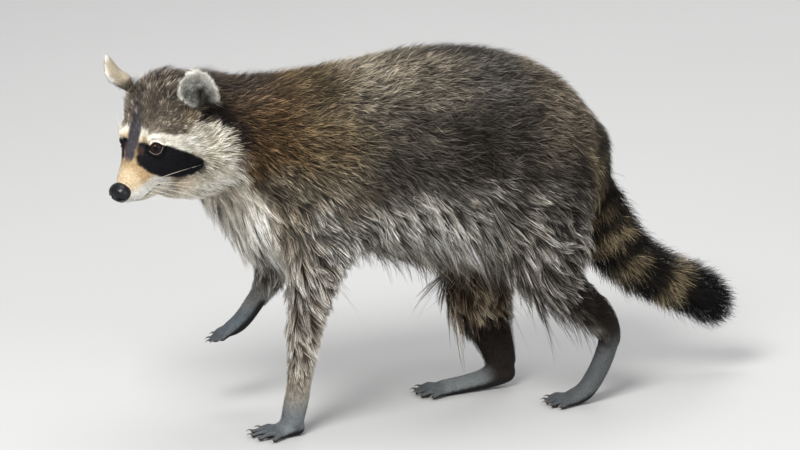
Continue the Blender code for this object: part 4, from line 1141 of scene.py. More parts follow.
def coat_numbers(P):
    """Length, width, spacing, lock size, lock strength and hang of the tufts."""
    p, s = P.p, P.high
    length = 21 + 5.5 * ramp(0.7, 0.0, s) + 9 * ramp(-0.15, -0.85, s)
    lock = 3.2 + 4.0 * ramp(0.20, -0.55, s)
    grip = 0.14 + 0.50 * ramp(0.30, -0.50, s)
    hang = 0.30 * ramp(-0.35, -0.95, s)
    # neck and chest
    length = mix(length, 19 + 10 * ramp(0.2, -0.5, s), P.neck)
    grip = mix(grip, 0.24 + 0.60 * ramp(0.3, -0.4, s), P.neck)
    rear = ramp(178, 198, p[:, 1]) * ramp(200, 225, p[:, 2]) * ramp(266, 248, p[:, 2])
    length = length + 13 * rear
    # behind the elbow the coat is drawn up under the chest
    elbow = ramp(-122, -100, p[:, 1]) * ramp(-20, -45, p[:, 1]) * ramp(205, 185, p[:, 2])
    length = length * (1 - 0.40 * elbow)
    # legs: from long locks to velvet
    for name, (w, arc, ratio) in P.legs.items():
        z = p[:, 2]
        if name == "fore_right":
            steps = ((74, 88, 100, 114, 129, 148, 170, 215), (1.6, 1.9, 2.2, 3.2, 8, 20, 28, 30))
        elif name == "fore_left":
            steps = ((0, 20, 42, 66, 90, 112, 135, 160, 215), (1.6, 2.4, 5.5, 10.5, 15.5, 20, 25, 29, 30))
        elif name == "hind_left":
            steps = ((0, 22, 50, 75, 98, 118, 138, 165, 215), (1.6, 2.2, 3.0, 5, 10, 19, 28, 31, 28))
        else:
            steps = ((0, 20, 40, 62, 82, 100, 125, 160, 215), (1.6, 2.4, 4, 8, 16, 25, 31, 33, 28))
        wanted = np.interp(z + (26 * (noise(p, 13, 71) - 0.5) + 16 * (noise(p, 6, 72) - 0.5)) * ramp(48, 80, z), *steps)
        length = mix(length, wanted, w)
        if "hind" in name:
            front = ramp(0.2, -0.7, P.n[:, 1]) * ramp(40, 70, z)
            wanted = np.maximum(wanted, np.minimum(wanted * (2.3 if name == "hind_left" else 1.6), 30) * front)
            wanted = wanted * (1 - 0.45 * ramp(0.1, 0.7, P.n[:, 1]) * ramp(185, 150, z))
            length = mix(length, wanted, w)
        elif name == "fore_left":
            wanted = wanted * (1 - 0.45 * ramp(-0.1, 0.6, P.n[:, 1]) * ramp(215, 180, z))
            length = mix(length, wanted, w)
        grip = mix(grip, np.interp(wanted, (3, 8, 16, 26), (0.05, 0.30, 0.70, 0.82)), w)
        lock = mix(lock, np.interp(wanted, (3, 8, 16, 26), (3, 4.0, 5.4, 7.0)), w)
        hang = mix(hang, 0.06 + 0.14 * ramp(0.0, -0.6, P.n[:, 1]) * ("hind" in name), w)
    tail_length = np.interp(P.tail_s, (0, 40, 90, 200, 240), (31, 28, 27, 27, 27))
    length = mix(length, tail_length, P.tail)
    grip = mix(grip, 0.16, P.tail)
    lock = mix(lock, 3.6, P.tail)
    hang = mix(hang, 0.02, P.tail)
    # head
    f, al, u = P.f, P.al, P.u
    face = np.interp(f, (-112, -96, -80, -62, -48, -36, -22, -4), (12, 9.5, 7.4, 5.8, 4.6, 3.6, 2.6, 1.8))
    ruff = ramp(-58, -82, f) * ramp(30, 46, al) * ramp(34, 10, u)
    jowl = ramp(-36, -52, u) * ramp(-44, -62, f)
    face = face + 9 * ruff + 13 * jowl
    length = mix(length, face, P.head)
    grip = mix(grip, 0.22 + 0.10 * ruff + 0.30 * jowl, P.head)
    lock = mix(lock, 2.8 + 1.2 * ruff, P.head)
    hang = mix(hang, 0.05 * ruff + 0.25 * jowl, P.head)
    near_eye = P.at_eye * ramp(2.4, 1.2, P.eye_r)
    length = mix(length, 1.9, near_eye)
    length = mix(length, 3.2 + 4.5 * P.ear_in * ramp(0.85, 0.4, P.ear_s) * ramp(0.95, 0.6, np.abs(P.ear_t)), P.ear)
    # the head's hair covers the foot of the ear in front
    tuck = P.tuck
    length = length + 6 * tuck
    grip = mix(grip, 0.10, P.ear)
    hang = mix(hang, 0.0, P.ear)
    # locks under the belly, chest and thighs hang free
    under = ramp(-0.05, -0.75, P.n[:, 2]) * ramp(10, 20, length) * (1 - P.head) * (1 - P.tail) * (1 - 0.7 * P.leg)
    hang = hang + 0.42 * under * (1 - 0.8 * elbow)
    grip = grip + (0.86 - grip) * 0.8 * under
    length = length + 9 * under * ramp(20, 30, length) * (1 - elbow)
    lock = mix(lock, 7.0, 0.8 * under)
    width = 0.21 + 0.0100 * length
    gap = 0.70 + 0.0275 * length
    gap = mix(gap, 1.18, P.tail)
    width = mix(width, 0.50, P.tail)
    gap = mix(gap, 0.80 + 0.022 * length, P.head)
    gap = mix(gap, np.maximum(gap, 1.1), P.leg * ramp(120, 80, p[:, 2]))
    gap = mix(gap, 0.80, P.ear)
    width = mix(width, 0.26, P.ear)
    # how much the coat's hairs are dark below and pale at their tips, and where the tips are dark again
    tipped = ramp(0.30, 0.68, grip) * (1 - 0.8 * P.neck * ramp(0.15, -0.25, s))
    dark_end = np.maximum(under, 0.7 * ramp(0.0, -0.5, s)) * ramp(-110, -80, p[:, 1]) * (1 - P.leg) * (1 - P.head)
    fringe = np.maximum(under * (1 - P.neck), P.leg * ramp(18, 26, length) * ramp(-0.1, -0.6, P.n[:, 1]) * (p[:, 1] > 0))
    return length, width, gap, lock, grip, hang, tipped, dark_end, tuck, fringe


length, width, gap, lock, grip, hang, tipped, dark_end, tuck, fringe = coat_numbers(P)
under, pale, dark, share = markings(P)
bare = np.maximum(P.sole, P.at_eye * (P.eye_r < 1.30))
mouth_q = np.stack([P.f, P.al, P.u], axis=1)
mouth_d, mouth_arc = nearest_on(mouth_q, MOUTH)
in_mouth = (mouth_d < 1.3) * (mouth_arc < 40) * P.head
nose_d = blob(P.h, (0, 0, 0), NOSE_PAD + 0.6)
bare = np.clip(bare + in_mouth + (nose_d < 1.0) + (P.ear_hole > 0.75), 0, 1)

# ------------------------------------------------------------- the skin's colours
grain = noise(co, 2.2, 21)[:, None]
velvet = ramp(9, 3.5, length)[:, None]          # where the coat is short, the skin shows the coat's own mean
mean = under * 0.35 + (pale * share[:, None] + dark * (1 - share[:, None])) * 0.65
# under long coat the skin takes the underfur's tone darkened: painted shade beneath the hair
skin_colour = mix(under * 0.55, mean, velvet[:, 0]) * (0.85 + 0.3 * grain)
skin_colour = mix(skin_colour, np.array((0.012, 0.011, 0.012)), np.clip(P.sole, 0, 1))
lid = P.at_eye * ramp(1.32, 1.14, P.eye_r)
skin_colour = mix(skin_colour, np.array((0.010, 0.009, 0.010)), lid)
# a pale line along the lower lid's edge: a painted reflection off the wet lid
rim = P.at_eye * ramp(1.17, 1.09, P.eye_r) * ramp(0.96, 1.0, P.eye_r) * ramp(0.6, -1.6, P.eye_b)
skin_colour = mix(skin_colour, np.array((0.15, 0.125, 0.11)), 0.75 * rim)
skin_colour = mix(skin_colour, np.array((0.018, 0.012, 0.011)), in_mouth)

# ------------------------------------------------------------- an unwrap of the skin's own shape
def unwrap(mesh):
    obj = bpy.data.objects.new("unwrap", mesh)
    bpy.context.scene.collection.objects.link(obj)
    for other in bpy.context.selected_objects:
        other.select_set(False)
    obj.select_set(True)
    bpy.context.view_layer.objects.active = obj
    mesh.uv_layers.new(name="OFBake")
    bpy.ops.object.mode_set(mode="EDIT")
    bpy.ops.mesh.select_all(action="SELECT")
    bpy.ops.uv.smart_project(angle_limit=math.radians(66), island_margin=0.002, area_weight=0.0)
    bpy.ops.object.mode_set(mode="OBJECT")
    bpy.data.objects.remove(obj, do_unlink=True)


unwrap(skin)
loops = np.empty(len(skin.loops) * 2, np.float32)
skin.uv_layers["OFBake"].data.foreach_get("uv", loops)
uv = loops.reshape(-1, 2).astype(float)
tri = np.empty(len(skin.polygons) * 3, np.int32)
skin.polygons.foreach_get("vertices", tri)
tri = tri.reshape(-1, 3)
starts = np.empty(len(skin.polygons), np.int32)
skin.polygons.foreach_get("loop_start", starts)
tri_uv = np.stack([uv[starts], uv[starts + 1], uv[starts + 2]], axis=1)

# ------------------------------------------------------------- roots
A, B, C = co[tri[:, 0]], co[tri[:, 1]], co[tri[:, 2]]
area = 0.5 * np.linalg.norm(np.cross(B - A, C - A), axis=1)
tri_gap = gap[tri].mean(axis=1)
tri_bare = bare[tri].mean(axis=1)
wanted = area / tri_gap**2 * 3.0 * (tri_bare < 0.5)
count = np.floor(wanted + RNG.random(len(wanted))).astype(int)
owner = np.repeat(np.arange(len(tri)), count)
r1, r2 = RNG.random(len(owner)), RNG.random(len(owner))
flip = r1 + r2 > 1
r1, r2 = np.where(flip, 1 - r1, r1), np.where(flip, 1 - r2, r2)
bary = np.stack([1 - r1 - r2, r1, r2], axis=1)


def at_roots(values):
    values = np.asarray(values, float)
    picked = values[tri[owner]]
    if picked.ndim == 2:
        return (picked * bary).sum(axis=1)
    return (picked * bary[:, :, None]).sum(axis=1)


root = at_roots(co)


def spread_out(points, reach, cell):
    """Indices, in random order, of points that keep their own least distance from those before."""
    order = RNG.permutation(len(points))
    grid, kept = {}, []
    places = np.floor(points / cell).astype(int)
    around = [(x, y, z) for x in (-1, 0, 1) for y in (-1, 0, 1) for z in (-1, 0, 1)]
    rows, near, least = points.tolist(), places.tolist(), (reach**2).tolist()
    for i in order.tolist():
        x, y, z = rows[i]
        a, b, c = near[i]
        limit = least[i]
        free = True
        for d, e, f in around:
            for u, v, w in grid.get((a + d, b + e, c + f), ()):
                if (u - x) ** 2 + (v - y) ** 2 + (w - z) ** 2 < limit:
                    free = False
                    break
            if not free:
                break
        if free:
            grid.setdefault((a, b, c), []).append((x, y, z))
            kept.append(i)
    return np.array(kept)


keep = np.sort(spread_out(root, 0.80 * at_roots(gap), 1.9))
owner, bary, root = owner[keep], bary[keep], root[keep]
root_n = unit(at_roots(soft_normals))
root_d = at_roots(lie)
root_d = unit(root_d - root_n * dot(root_d, root_n)[:, None])
R = {
    "length": at_roots(length),
    "width": at_roots(width),
    "depth": at_roots(depth),
    "lock": at_roots(lock),
    "grip": at_roots(grip),
    "hang": at_roots(hang),
    "tipped": at_roots(tipped),
    "dark_end": at_roots(dark_end),
    "tuck": at_roots(tuck),
    "fringe": at_roots(fringe),
    "tail": at_roots(P.tail),
    "head": at_roots(P.head),
    "ear": at_roots(P.ear),
    "leg": at_roots(P.leg),
    "high": at_roots(P.high),
}
root_uv = (tri_uv[owner] * bary[:, :, None]).sum(axis=1)
Q = Place(root, root_n)
r_under, r_pale, r_dark, r_share = markings(Q)
# no tuft where the skin is bare, and none that would cover the eyes
open_eye = Q.at_eye & (Q.eye_r < 1.28)
under_floor = root[:, 2] < 1.2
keep = ~(open_eye | under_floor | (blob(Q.h, (0, 0, 0), NOSE_PAD + 0.5) < 1.0) | (Q.sole > 0.5))
pick = np.flatnonzero(keep)
print("roots", len(pick))
owner, bary, root, root_n, root_d, root_uv = (x[pick] for x in (owner, bary, root, root_n, root_d, root_uv))
R = {k: v[pick] for k, v in R.items()}
r_under, r_pale, r_dark, r_share = (x[pick] for x in (r_under, r_pale, r_dark, r_share))
N = len(root)
guard = RNG.random(N) < 0.46             # thin, long and strong in tone, over broader, duller ones

# ------------------------------------------------------------- locks
seeds = spread_out(root, 0.85 * np.clip(R["lock"], 2.5, 10), 8.6)
tree = KDTree(len(seeds))
seed_points = root[seeds]
for i, point in enumerate(seed_points.tolist()):
    tree.insert(point, i)
tree.balance()
lock_of = np.fromiter((tree.find(point)[1] for point in root.tolist()), int, N)
guide = seeds[lock_of]
print("locks", len(seeds))

# ------------------------------------------------------------- the tufts' curves
side_way = np.cross(root_d, root_n)
lock_turn = RNG.normal(0, 1, len(seeds))[lock_of]
lock_long = RNG.normal(0, 1, len(seeds))[lock_of]
lock_lift = RNG.normal(0, 1, len(seeds))[lock_of]
drift = (noise(root, 26, 31) - 0.5) * 0.60 + (noise(root, 8, 32) - 0.5) * 0.62 * (1 - R["head"])
turn = drift + lock_turn * (0.06 + 0.15 * R["grip"]) + RNG.normal(0, 1, N) * (0.12 + 0.25 * ramp(0.45, 0.15, R["grip"]) * np.maximum(ramp(9, 15, R["length"]), 0.9 * R["head"] * ramp(4, 6, R["length"])))
turn = turn * (1 - 0.4 * R["ear"])
c, s = np.cos(turn)[:, None], np.sin(turn)[:, None]
way = root_d * c + side_way * s
side_way = np.cross(way, root_n)
long = R["length"] * (1 + 0.10 * lock_long + RNG.normal(0, 0.09, N))
long = np.clip(long, 0.55 * R["length"], 1.35 * R["length"])
off = np.linalg.norm(root - root[guide], axis=1) / np.maximum(R["lock"], 2.5)
long = long * (1 - 0.42 * R["grip"] * ramp(0.1, 0.9, off)) * np.where(guard, 1.05, 0.90)
rump = ramp(120, 165, root[:, 1]) * ramp(215, 245, root[:, 2]) * (1 - R["tail"])
stray = RNG.random(N) < 0.05 + 0.12 * ramp(0.6, 1.0, R["high"]) * (1 - R["head"]) + 0.30 * rump
lift = np.minimum(R["depth"], 10.5 + 5 * R["tail"]) * np.clip(1.0 + 0.13 * lock_lift + RNG.normal(0, 0.12, N) + (0.45 + 0.40 * rump) * stray, 0.45, 2.0)
lift = lift * np.where(guard, 1.06, 0.86)
lift = lift + 4.0 * R["tuck"]
# under the belly and on the backs and fronts of the legs some locks hang out in thin, dark points
wisp = guard & (RNG.random(len(seeds)) < 0.42)[lock_of] & (RNG.random(N) < 0.50) & (R["fringe"] > 0.40)
long = np.where(wisp, 1.72 * long, long)
lift = lift * (1 - 0.5 * ramp(182, 200, root[:, 1]) * ramp(232, 250, root[:, 2]) * ramp(312, 288, root[:, 2]))
lift = np.minimum(lift, 0.80 * long)
run = np.sqrt(np.maximum(long**2 - lift**2, (0.35 * long) ** 2))
hang_by = R["hang"] * long


def curve(index, t):
    """Points at share t along the tufts of index."""
    height = lift[index] * (1 - (1 - t) ** 1.9)
    height = height - 0.6 * (1 - t) ** 4
    point = root[index] + way[index] * (run[index] * t)[:, None] + root_n[index] * height[:, None]
    point[:, 2] -= hang_by[index] * t * t
    return point


BEND = RNG.normal(0, 1, N)
LEGGY = R["leg"] * ramp(10, 17, R["length"]) * (1 - R["tail"])


def tuft_points(index, levels):
    """(levels, n, 3) centre points of the tufts, drawn into their locks."""
    out = []
    g = guide[index]
    hold = R["grip"][index] * (0.70 + 0.4 * RNG.random(len(index)))
    hold = np.where(wisp[index], 0.93, np.clip(hold, 0, 0.90))
    for t in levels:
        own = curve(index, t)
        own = own + side_way[index] * (BEND[index] * 0.06 * long[index] * t * t)[:, None]
        wave = BEND[g] * (0.07 + 0.07 * LEGGY[g]) * t * t + (0.045 + 0.030 * LEGGY[g]) * R["grip"][g] * t * np.sin(5.2 * t + 2.4 * BEND[g])
        lead = curve(g, t) + side_way[g] * (wave * long[g])[:, None]
        pull = hold * t ** np.where(wisp[index], 1.15, 1.75 - 0.45 * R["grip"][index] - 0.30 * LEGGY[index])
        point = own + (lead - own) * pull[:, None]
        point[:, 2] -= np.where(wisp[index], 0.30 * long[index] * t * t, 0.0)
        out.append(point)
    return np.stack(out)


# ------------------------------------------------------------- the tufts' colours
lock_tone = RNG.normal(0, 1, len(seeds))[lock_of]
trunk_part = (1 - R["head"]) * (1 - R["ear"]) * ramp(9, 15, R["length"])
dark_head = R["head"] * ramp(0.80, 0.60, r_share)
grizzled = 0.40 * R["head"] + 0.60 * dark_head
bright = np.exp(RNG.normal(0, 1, N) * (0.20 + 0.08 * trunk_part + 0.26 * dark_head * ramp(3.8, 5.2, R["length"])) + (0.10 + 0.42 * R["grip"] * trunk_part + 0.34 * grizzled * ramp(4.5, 6, R["length"])) * lock_tone)
bright = bright * (1 + grizzled * ramp(3.8, 5.2, R["length"]) * (1.25 * (noise(root, 10, 35) - 0.5) + 2.0 * (noise(root, 3.6, 36) - 0.5)))
bright = bright * (1 + trunk_part * (0.85 * (noise(root, 34, 33) - 0.5) + 0.80 * (noise(root, 11, 34) - 0.5)))
fine_share = np.clip(r_share + 0.16 * RNG.normal(0, 1, len(seeds))[lock_of] * (0.25 + R["grip"]), 0.02, 0.98)
lock_part = np.clip(r_share * (1.30 - 0.50 * R["leg"]) + 0.10 * (1 - R["leg"]), 0.02, 0.97)
is_pale = RNG.random(N) < mix(fine_share, np.clip(lock_part * (1.55 - 1.35 * off), 0.02, 0.97), R["tipped"])
back = trunk_part * (1 - R["tipped"]) * (1 - R["tail"]) * ramp(0.9, 0.5, r_share)
banded = RNG.random(N) < 0.30 * (1 - R["tipped"]) + 0.55 * back
speck = RNG.random(N)
# guard hairs: each pale or dark, with its band
tone_low = np.where(is_pale, mix(0.30 + 0.5 * speck - back * (0.20 + 0.35 * speck), 0.04 + 0.06 * speck, R["tipped"]), 0.0)
tone_mid = np.where(is_pale, mix(1.0, 0.50 + 0.40 * speck, R["tipped"]), 0.05 * speck)
tone_tip = np.where(is_pale, np.where(banded, 0.12, 1.0), np.where(speck > 0.88, 0.8, 0.05))
# the others: near the coat's mean tone
even = r_share * (0.35 + 1.1 * speck)
tone_low = np.where(guard, tone_low, mix(0.55 * even, 0.0, R["tipped"]))
tone_mid = np.where(guard, tone_mid, mix(even, 0.22 * even, R["tipped"]))
tone_tip = np.where(guard, tone_tip, mix(even, 0.55 * even, R["tipped"]))
# where the locks end in dark points, the band before them is paler
tone_mid = mix(tone_mid, np.where(is_pale, 1.0, tone_mid), R["dark_end"])
tone_tip = mix(tone_tip, np.where(RNG.random(N) < 0.85, 0.02, tone_tip), R["dark_end"])
tone_mid = np.where(wisp, 0.25 * tone_mid, tone_mid)
tone_tip = np.where(wisp, 0.01, tone_tip)
TONE_AT = (0.0, 0.44, 0.76, 1.0)


def tuft_colours(index, levels):
    out = []
    steps = np.stack([tone_low[index] * 0.6, tone_low[index], tone_mid[index], tone_tip[index]])
    for t in levels:
        i = min(int(np.searchsorted(TONE_AT, t, side="right")) - 1, 2)
        share = (t - TONE_AT[i]) / (TONE_AT[i + 1] - TONE_AT[i])
        tone = mix(steps[i], steps[i + 1], share)
        c = mix(r_dark[index], r_pale[index], tone)
        # towards the root the hair darkens: partly its own dark base, partly painted shade deep in the coat
        c = mix(r_under[index] * 0.55, c, float(ramp(0.0, 0.45, t)) * np.ones(len(index)))
        out.append(c * bright[index][:, None] * (0.82 + 0.18 * t))
    return np.stack(out)


# ------------------------------------------------------------- materials
def new_material(name):
    made = bpy.data.materials.new(name)
    made.use_nodes = True
    tree = made.node_tree
    return made, tree, tree.nodes["Principled BSDF"]


def add(tree, kind, **inputs):
    node = tree.nodes.new(kind)
    for key, value in inputs.items():
        if key in node.inputs:
            node.inputs[key].default_value = value
        else:
            setattr(node, key, value)
    return node


def painted(name, layer, roughness, specular, spread, scale, detail=2.0, bump=0.0, bump_scale=600.0, bump_far=0.0005, sheen=0.0, coat=0.0, coat_rough=0.1, ior=1.45):
    """A material that takes its colour from a colour layer of the mesh, with fine mottling."""
    made, tree, shader = new_material(name)
    link = tree.links.new
    colour = tree.nodes.new("ShaderNodeAttribute")
    colour.attribute_name = layer
    where = tree.nodes.new("ShaderNodeTexCoord")
    grain = add(tree, "ShaderNodeTexNoise")
    grain.inputs["Scale"].default_value = scale
    grain.inputs["Detail"].default_value = detail
    link(where.outputs["Object"], grain.inputs["Vector"])
    span = tree.nodes.new("ShaderNodeMapRange")
    span.inputs["From Min"].default_value = 0.3
    span.inputs["From Max"].default_value = 0.7
    span.inputs["To Min"].default_value = 1 - spread
    span.inputs["To Max"].default_value = 1 + spread
    link(grain.outputs["Fac"], span.inputs["Value"])
    times = tree.nodes.new("ShaderNodeVectorMath")
    times.operation = "SCALE"
    link(colour.outputs["Color"], times.inputs[0])
    link(span.outputs["Result"], times.inputs["Scale"])
    link(times.outputs["Vector"], shader.inputs["Base Color"])
    shader.inputs["Roughness"].default_value = roughness
    shader.inputs["Specular IOR Level"].default_value = specular
    shader.inputs["IOR"].default_value = ior
    if sheen:
        shader.inputs["Sheen Weight"].default_value = sheen
        shader.inputs["Sheen Roughness"].default_value = 0.45
    if coat:
        shader.inputs["Coat IOR"].default_value = 1.36
        shader.inputs["Coat Weight"].default_value = coat
        shader.inputs["Coat Roughness"].default_value = coat_rough
    if bump:
        fine = add(tree, "ShaderNodeTexNoise")
        fine.inputs["Scale"].default_value = bump_scale
        fine.inputs["Detail"].default_value = 3.0
        link(where.outputs["Object"], fine.inputs["Vector"])
        lump = tree.nodes.new("ShaderNodeBump")
        lump.inputs["Strength"].default_value = bump
        lump.inputs["Distance"].default_value = bump_far
        link(fine.outputs["Fac"], lump.inputs["Height"])
        link(lump.outputs["Normal"], shader.inputs["Normal"])
    return made


def colour_layer(mesh, name, colours):
    layer = mesh.color_attributes.new(name, "FLOAT_COLOR", "POINT")
    rgba = np.ones((len(colours), 4), np.float32)
    rgba[:, :3] = np.clip(colours, 0, 1)
    layer.data.foreach_set("color", rgba.ravel())


COAT_LOOK = painted("coat", "coat_colour", 0.44, 0.5, 0.16, 420.0, ior=1.15)
SKIN_LOOK = painted("skin", "skin_colour", 0.62, 0.5, 0.20, 700.0, bump=0.55, bump_scale=1100.0, bump_far=0.0006, ior=1.2)


def as_object(name, mesh, look, nodes=()):
    mesh.materials.clear()
    mesh.materials.append(look)
    obj = bpy.data.objects.new(name, mesh)
    bpy.context.scene.collection.objects.link(obj)
    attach(obj, "root")
    if nodes:
        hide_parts(*nodes)
    return obj


def to_metres(points):
    return (np.asarray(points) + SHIFT) * MM


# ------------------------------------------------------------- the skin as a piece
colour_layer(skin, "skin_colour", skin_colour)
put_coords(skin, to_metres(co))
skin.shade_smooth()
skin.name = "skin"
FLESH = [
    n for n in NODES if not n.startswith(("claw_", "eye_")) and n != "nose"
]
as_object("skin", skin, SKIN_LOOK, FLESH)


# ------------------------------------------------------------- coat meshes
SECTION = ((1.0, -0.25), (-1.0, -0.25), (0.0, 0.62))     # across and up, over the half width


def build_tufts(index, levels, widths):
    """(points, colours, normals, triangles, uv) of closed, three-sided, tapering tufts."""
    n, m = len(index), len(levels)
    centres = tuft_points(index, (0.0, *levels, 1.0))
    shades = tuft_colours(index, (0.0, *levels, 1.0))
    size = 3 * m + 2
    points = np.empty((n, size, 3))
    colours = np.empty((n, size, 3))
    facing = np.empty((n, size, 3))
    w = R["width"][index] * 0.5 * (0.8 + 0.4 * RNG.random(n)) * np.where(guard[index], 0.66, 1.2)
    up0 = root_n[index]
    points[:, 0], colours[:, 0], facing[:, 0] = centres[0], shades[0], up0
    for j in range(m):
        tangent = unit(centres[j + 2] - centres[j])
        across = unit(np.cross(tangent, up0) + side_way[index] * 1e-4)
        up = np.cross(across, tangent)
        for k, (x, y) in enumerate(SECTION):
            at = 1 + 3 * j + k
            points[:, at] = centres[j + 1] + across * (w * widths[j] * x)[:, None] + up * (w * widths[j] * y)[:, None]
            colours[:, at] = shades[j + 1]
            facing[:, at] = unit(up0 * 1.0 + up * (0.5 + 0.5 * y) + across * 0.75 * x)
    points[:, -1], colours[:, -1], facing[:, -1] = centres[m + 1], shades[m + 1], up0
    tris = [(0, 1 + (k + 1) % 3, 1 + k) for k in range(3)]
    for j in range(m - 1):
        for k in range(3):
            a0, a1 = 1 + 3 * j + k, 1 + 3 * j + (k + 1) % 3
            tris += [(a0, a1, a0 + 3), (a1, a1 + 3, a0 + 3)]
    last = 1 + 3 * (m - 1)
    tris += [(last + k, last + (k + 1) % 3, size - 1) for k in range(3)]
    faces = np.array(tris)[None] + (np.arange(n) * size)[:, None, None]
    # the patch of each tuft on the unwrap: root to tip upwards, side to side across
    v = np.empty((size, 2))
    v[0], v[-1] = (0.0, -0.0015), (0.0, 0.0015)
    for j in range(m):
        for k, (x, y) in enumerate(SECTION):
            v[1 + 3 * j + k] = (0.0014 * x, 0.003 * (levels[j] - 0.5))
    spot = np.clip(root_uv[index][:, None, :] + v[None], 0.0005, 0.9995)
    return points.reshape(-1, 3), colours.reshape(-1, 3), facing.reshape(-1, 3), faces.reshape(-1, 3), spot.reshape(-1, 2)


def make_mesh(name, points, faces):
    mesh = bpy.data.meshes.new(name)
    mesh.vertices.add(len(points))
    mesh.vertices.foreach_set("co", np.ascontiguousarray(points, np.float32).ravel())
    mesh.loops.add(len(faces) * 3)
    mesh.loops.foreach_set("vertex_index", np.ascontiguousarray(faces, np.int32).ravel())
    mesh.polygons.add(len(faces))
    mesh.polygons.foreach_set("loop_start", np.arange(0, len(faces) * 3, 3, dtype=np.int32))
    mesh.update(calc_edges=True)
    mesh.shade_smooth()
    return mesh


FAR, MID = R["length"] > 27, (R["length"] > 9) & (R["length"] <= 27)
KINDS = (
    (np.flatnonzero(FAR & guard), (0.28, 0.56, 0.80), (1.0, 0.95, 0.62)),
    (np.flatnonzero((FAR & ~guard) | (MID & guard)), (0.36, 0.72), (1.0, 0.80)),
    (np.flatnonzero(MID & ~guard), (0.50,), (1.0,)),
    (np.flatnonzero(R["length"] <= 9), (0.42,), (1.0,)),
)
total = sum(len(index) * 6 * len(levels) for index, levels, _ in KINDS)
print("tufts", [len(k[0]) for k in KINDS])
pieces = max(8, math.ceil(total / 185000))
print("coat triangles", total, "in", pieces)
for piece in range(pieces):
    parts, n = [], 0
    for index, levels, widths in KINDS:
        mine = index[piece::pieces]
        points, colours, facing, faces, spots = build_tufts(mine, levels, widths)
        parts.append((points, colours, facing, faces + n, spots))
        n += len(points)
    points, colours, facing, faces, spots = (np.concatenate([p[i] for p in parts]) for i in range(5))
    points[:, 2] = np.maximum(points[:, 2], 0.3)
    mesh = make_mesh(f"coat_{piece + 1}", to_metres(points), faces)
    colour_layer(mesh, "coat_colour", colours)
    layer = mesh.uv_layers.new(name="OFBake")
    layer.data.foreach_set("uv", np.ascontiguousarray(spots[faces.ravel()], np.float32).ravel())
    mesh.normals_split_custom_set_from_vertices(unit(facing).astype(np.float32))
    as_object(f"coat_{piece + 1}", mesh, COAT_LOOK)


# ------------------------------------------------------------- eyes
def eye_ball(side):
    out, axis_a, axis_b = eye_axes(side)
    rings, segments = 40, 56
    lat = np.linspace(0, np.pi, rings + 2)[1:-1]
    lon = np.linspace(0, 2 * np.pi, segments, endpoint=False)
    loops, colours = [], []
    centre = EYE_AT * np.array((1, side, 1))

    def shade(a, lon):
        deg = np.degrees(a)
        streaks = 0.75 + 0.5 * hashed(np.floor(lon * 14).astype(np.int64) + 50, np.full(len(lon), 3), np.full(len(lon), side + 5), 5)
        iris = np.array((0.017, 0.0085, 0.008))[None] * streaks[:, None]
        colour = mix(np.full((len(lon), 3), 0.0018), iris, np.full(len(lon), float(ramp(21, 25, deg))))
        colour = mix(colour, np.array((0.018, 0.008, 0.006)), np.full(len(lon), float(ramp(42, 50, deg))))
        colour = mix(colour, np.array((0.020, 0.013, 0.011)), np.full(len(lon), float(ramp(54, 62, deg))))
        return colour

    for a in lat:
        r = EYE_RADIUS + 0.42 * math.exp(-((math.degrees(a) / 30) ** 4)) - 0.1
        ring = (
            centre
            + out * r * math.cos(a)
            + (axis_a * np.cos(lon)[:, None] + axis_b * np.sin(lon)[:, None]) * (r * math.sin(a))
        )
        loops.append(at_head(ring))
        colours.append(shade(a, lon))
    first = at_head(centre + out * (EYE_RADIUS + 0.32))
    last = at_head(centre - out * (EYE_RADIUS - 0.1))
    points, faces = tube(loops, first, last)
    colours = np.vstack([*colours, np.full((1, 3), 0.0015), np.full((1, 3), 0.02)])
    mesh = bpy.data.meshes.new("eye")
    mesh.from_pydata(to_metres(points).tolist(), [], faces)
    bm = bmesh.new()
    bm.from_mesh(mesh)
    bmesh.ops.recalc_face_normals(bm, faces=bm.faces)
    bm.to_mesh(mesh)
    bm.free()
    colour_layer(mesh, "eye_colour", colours)
    mesh.shade_smooth()
    return mesh


EYE_LOOK = painted("eye", "eye_colour", 0.35, 0.5, 0.18, 1400.0, coat=0.38, coat_rough=0.03, ior=1.1)
for side, word in ((1, "left"), (-1, "right")):
    as_object(f"eyeball_{word}", eye_ball(side), EYE_LOOK, [f"eye_{word}"])


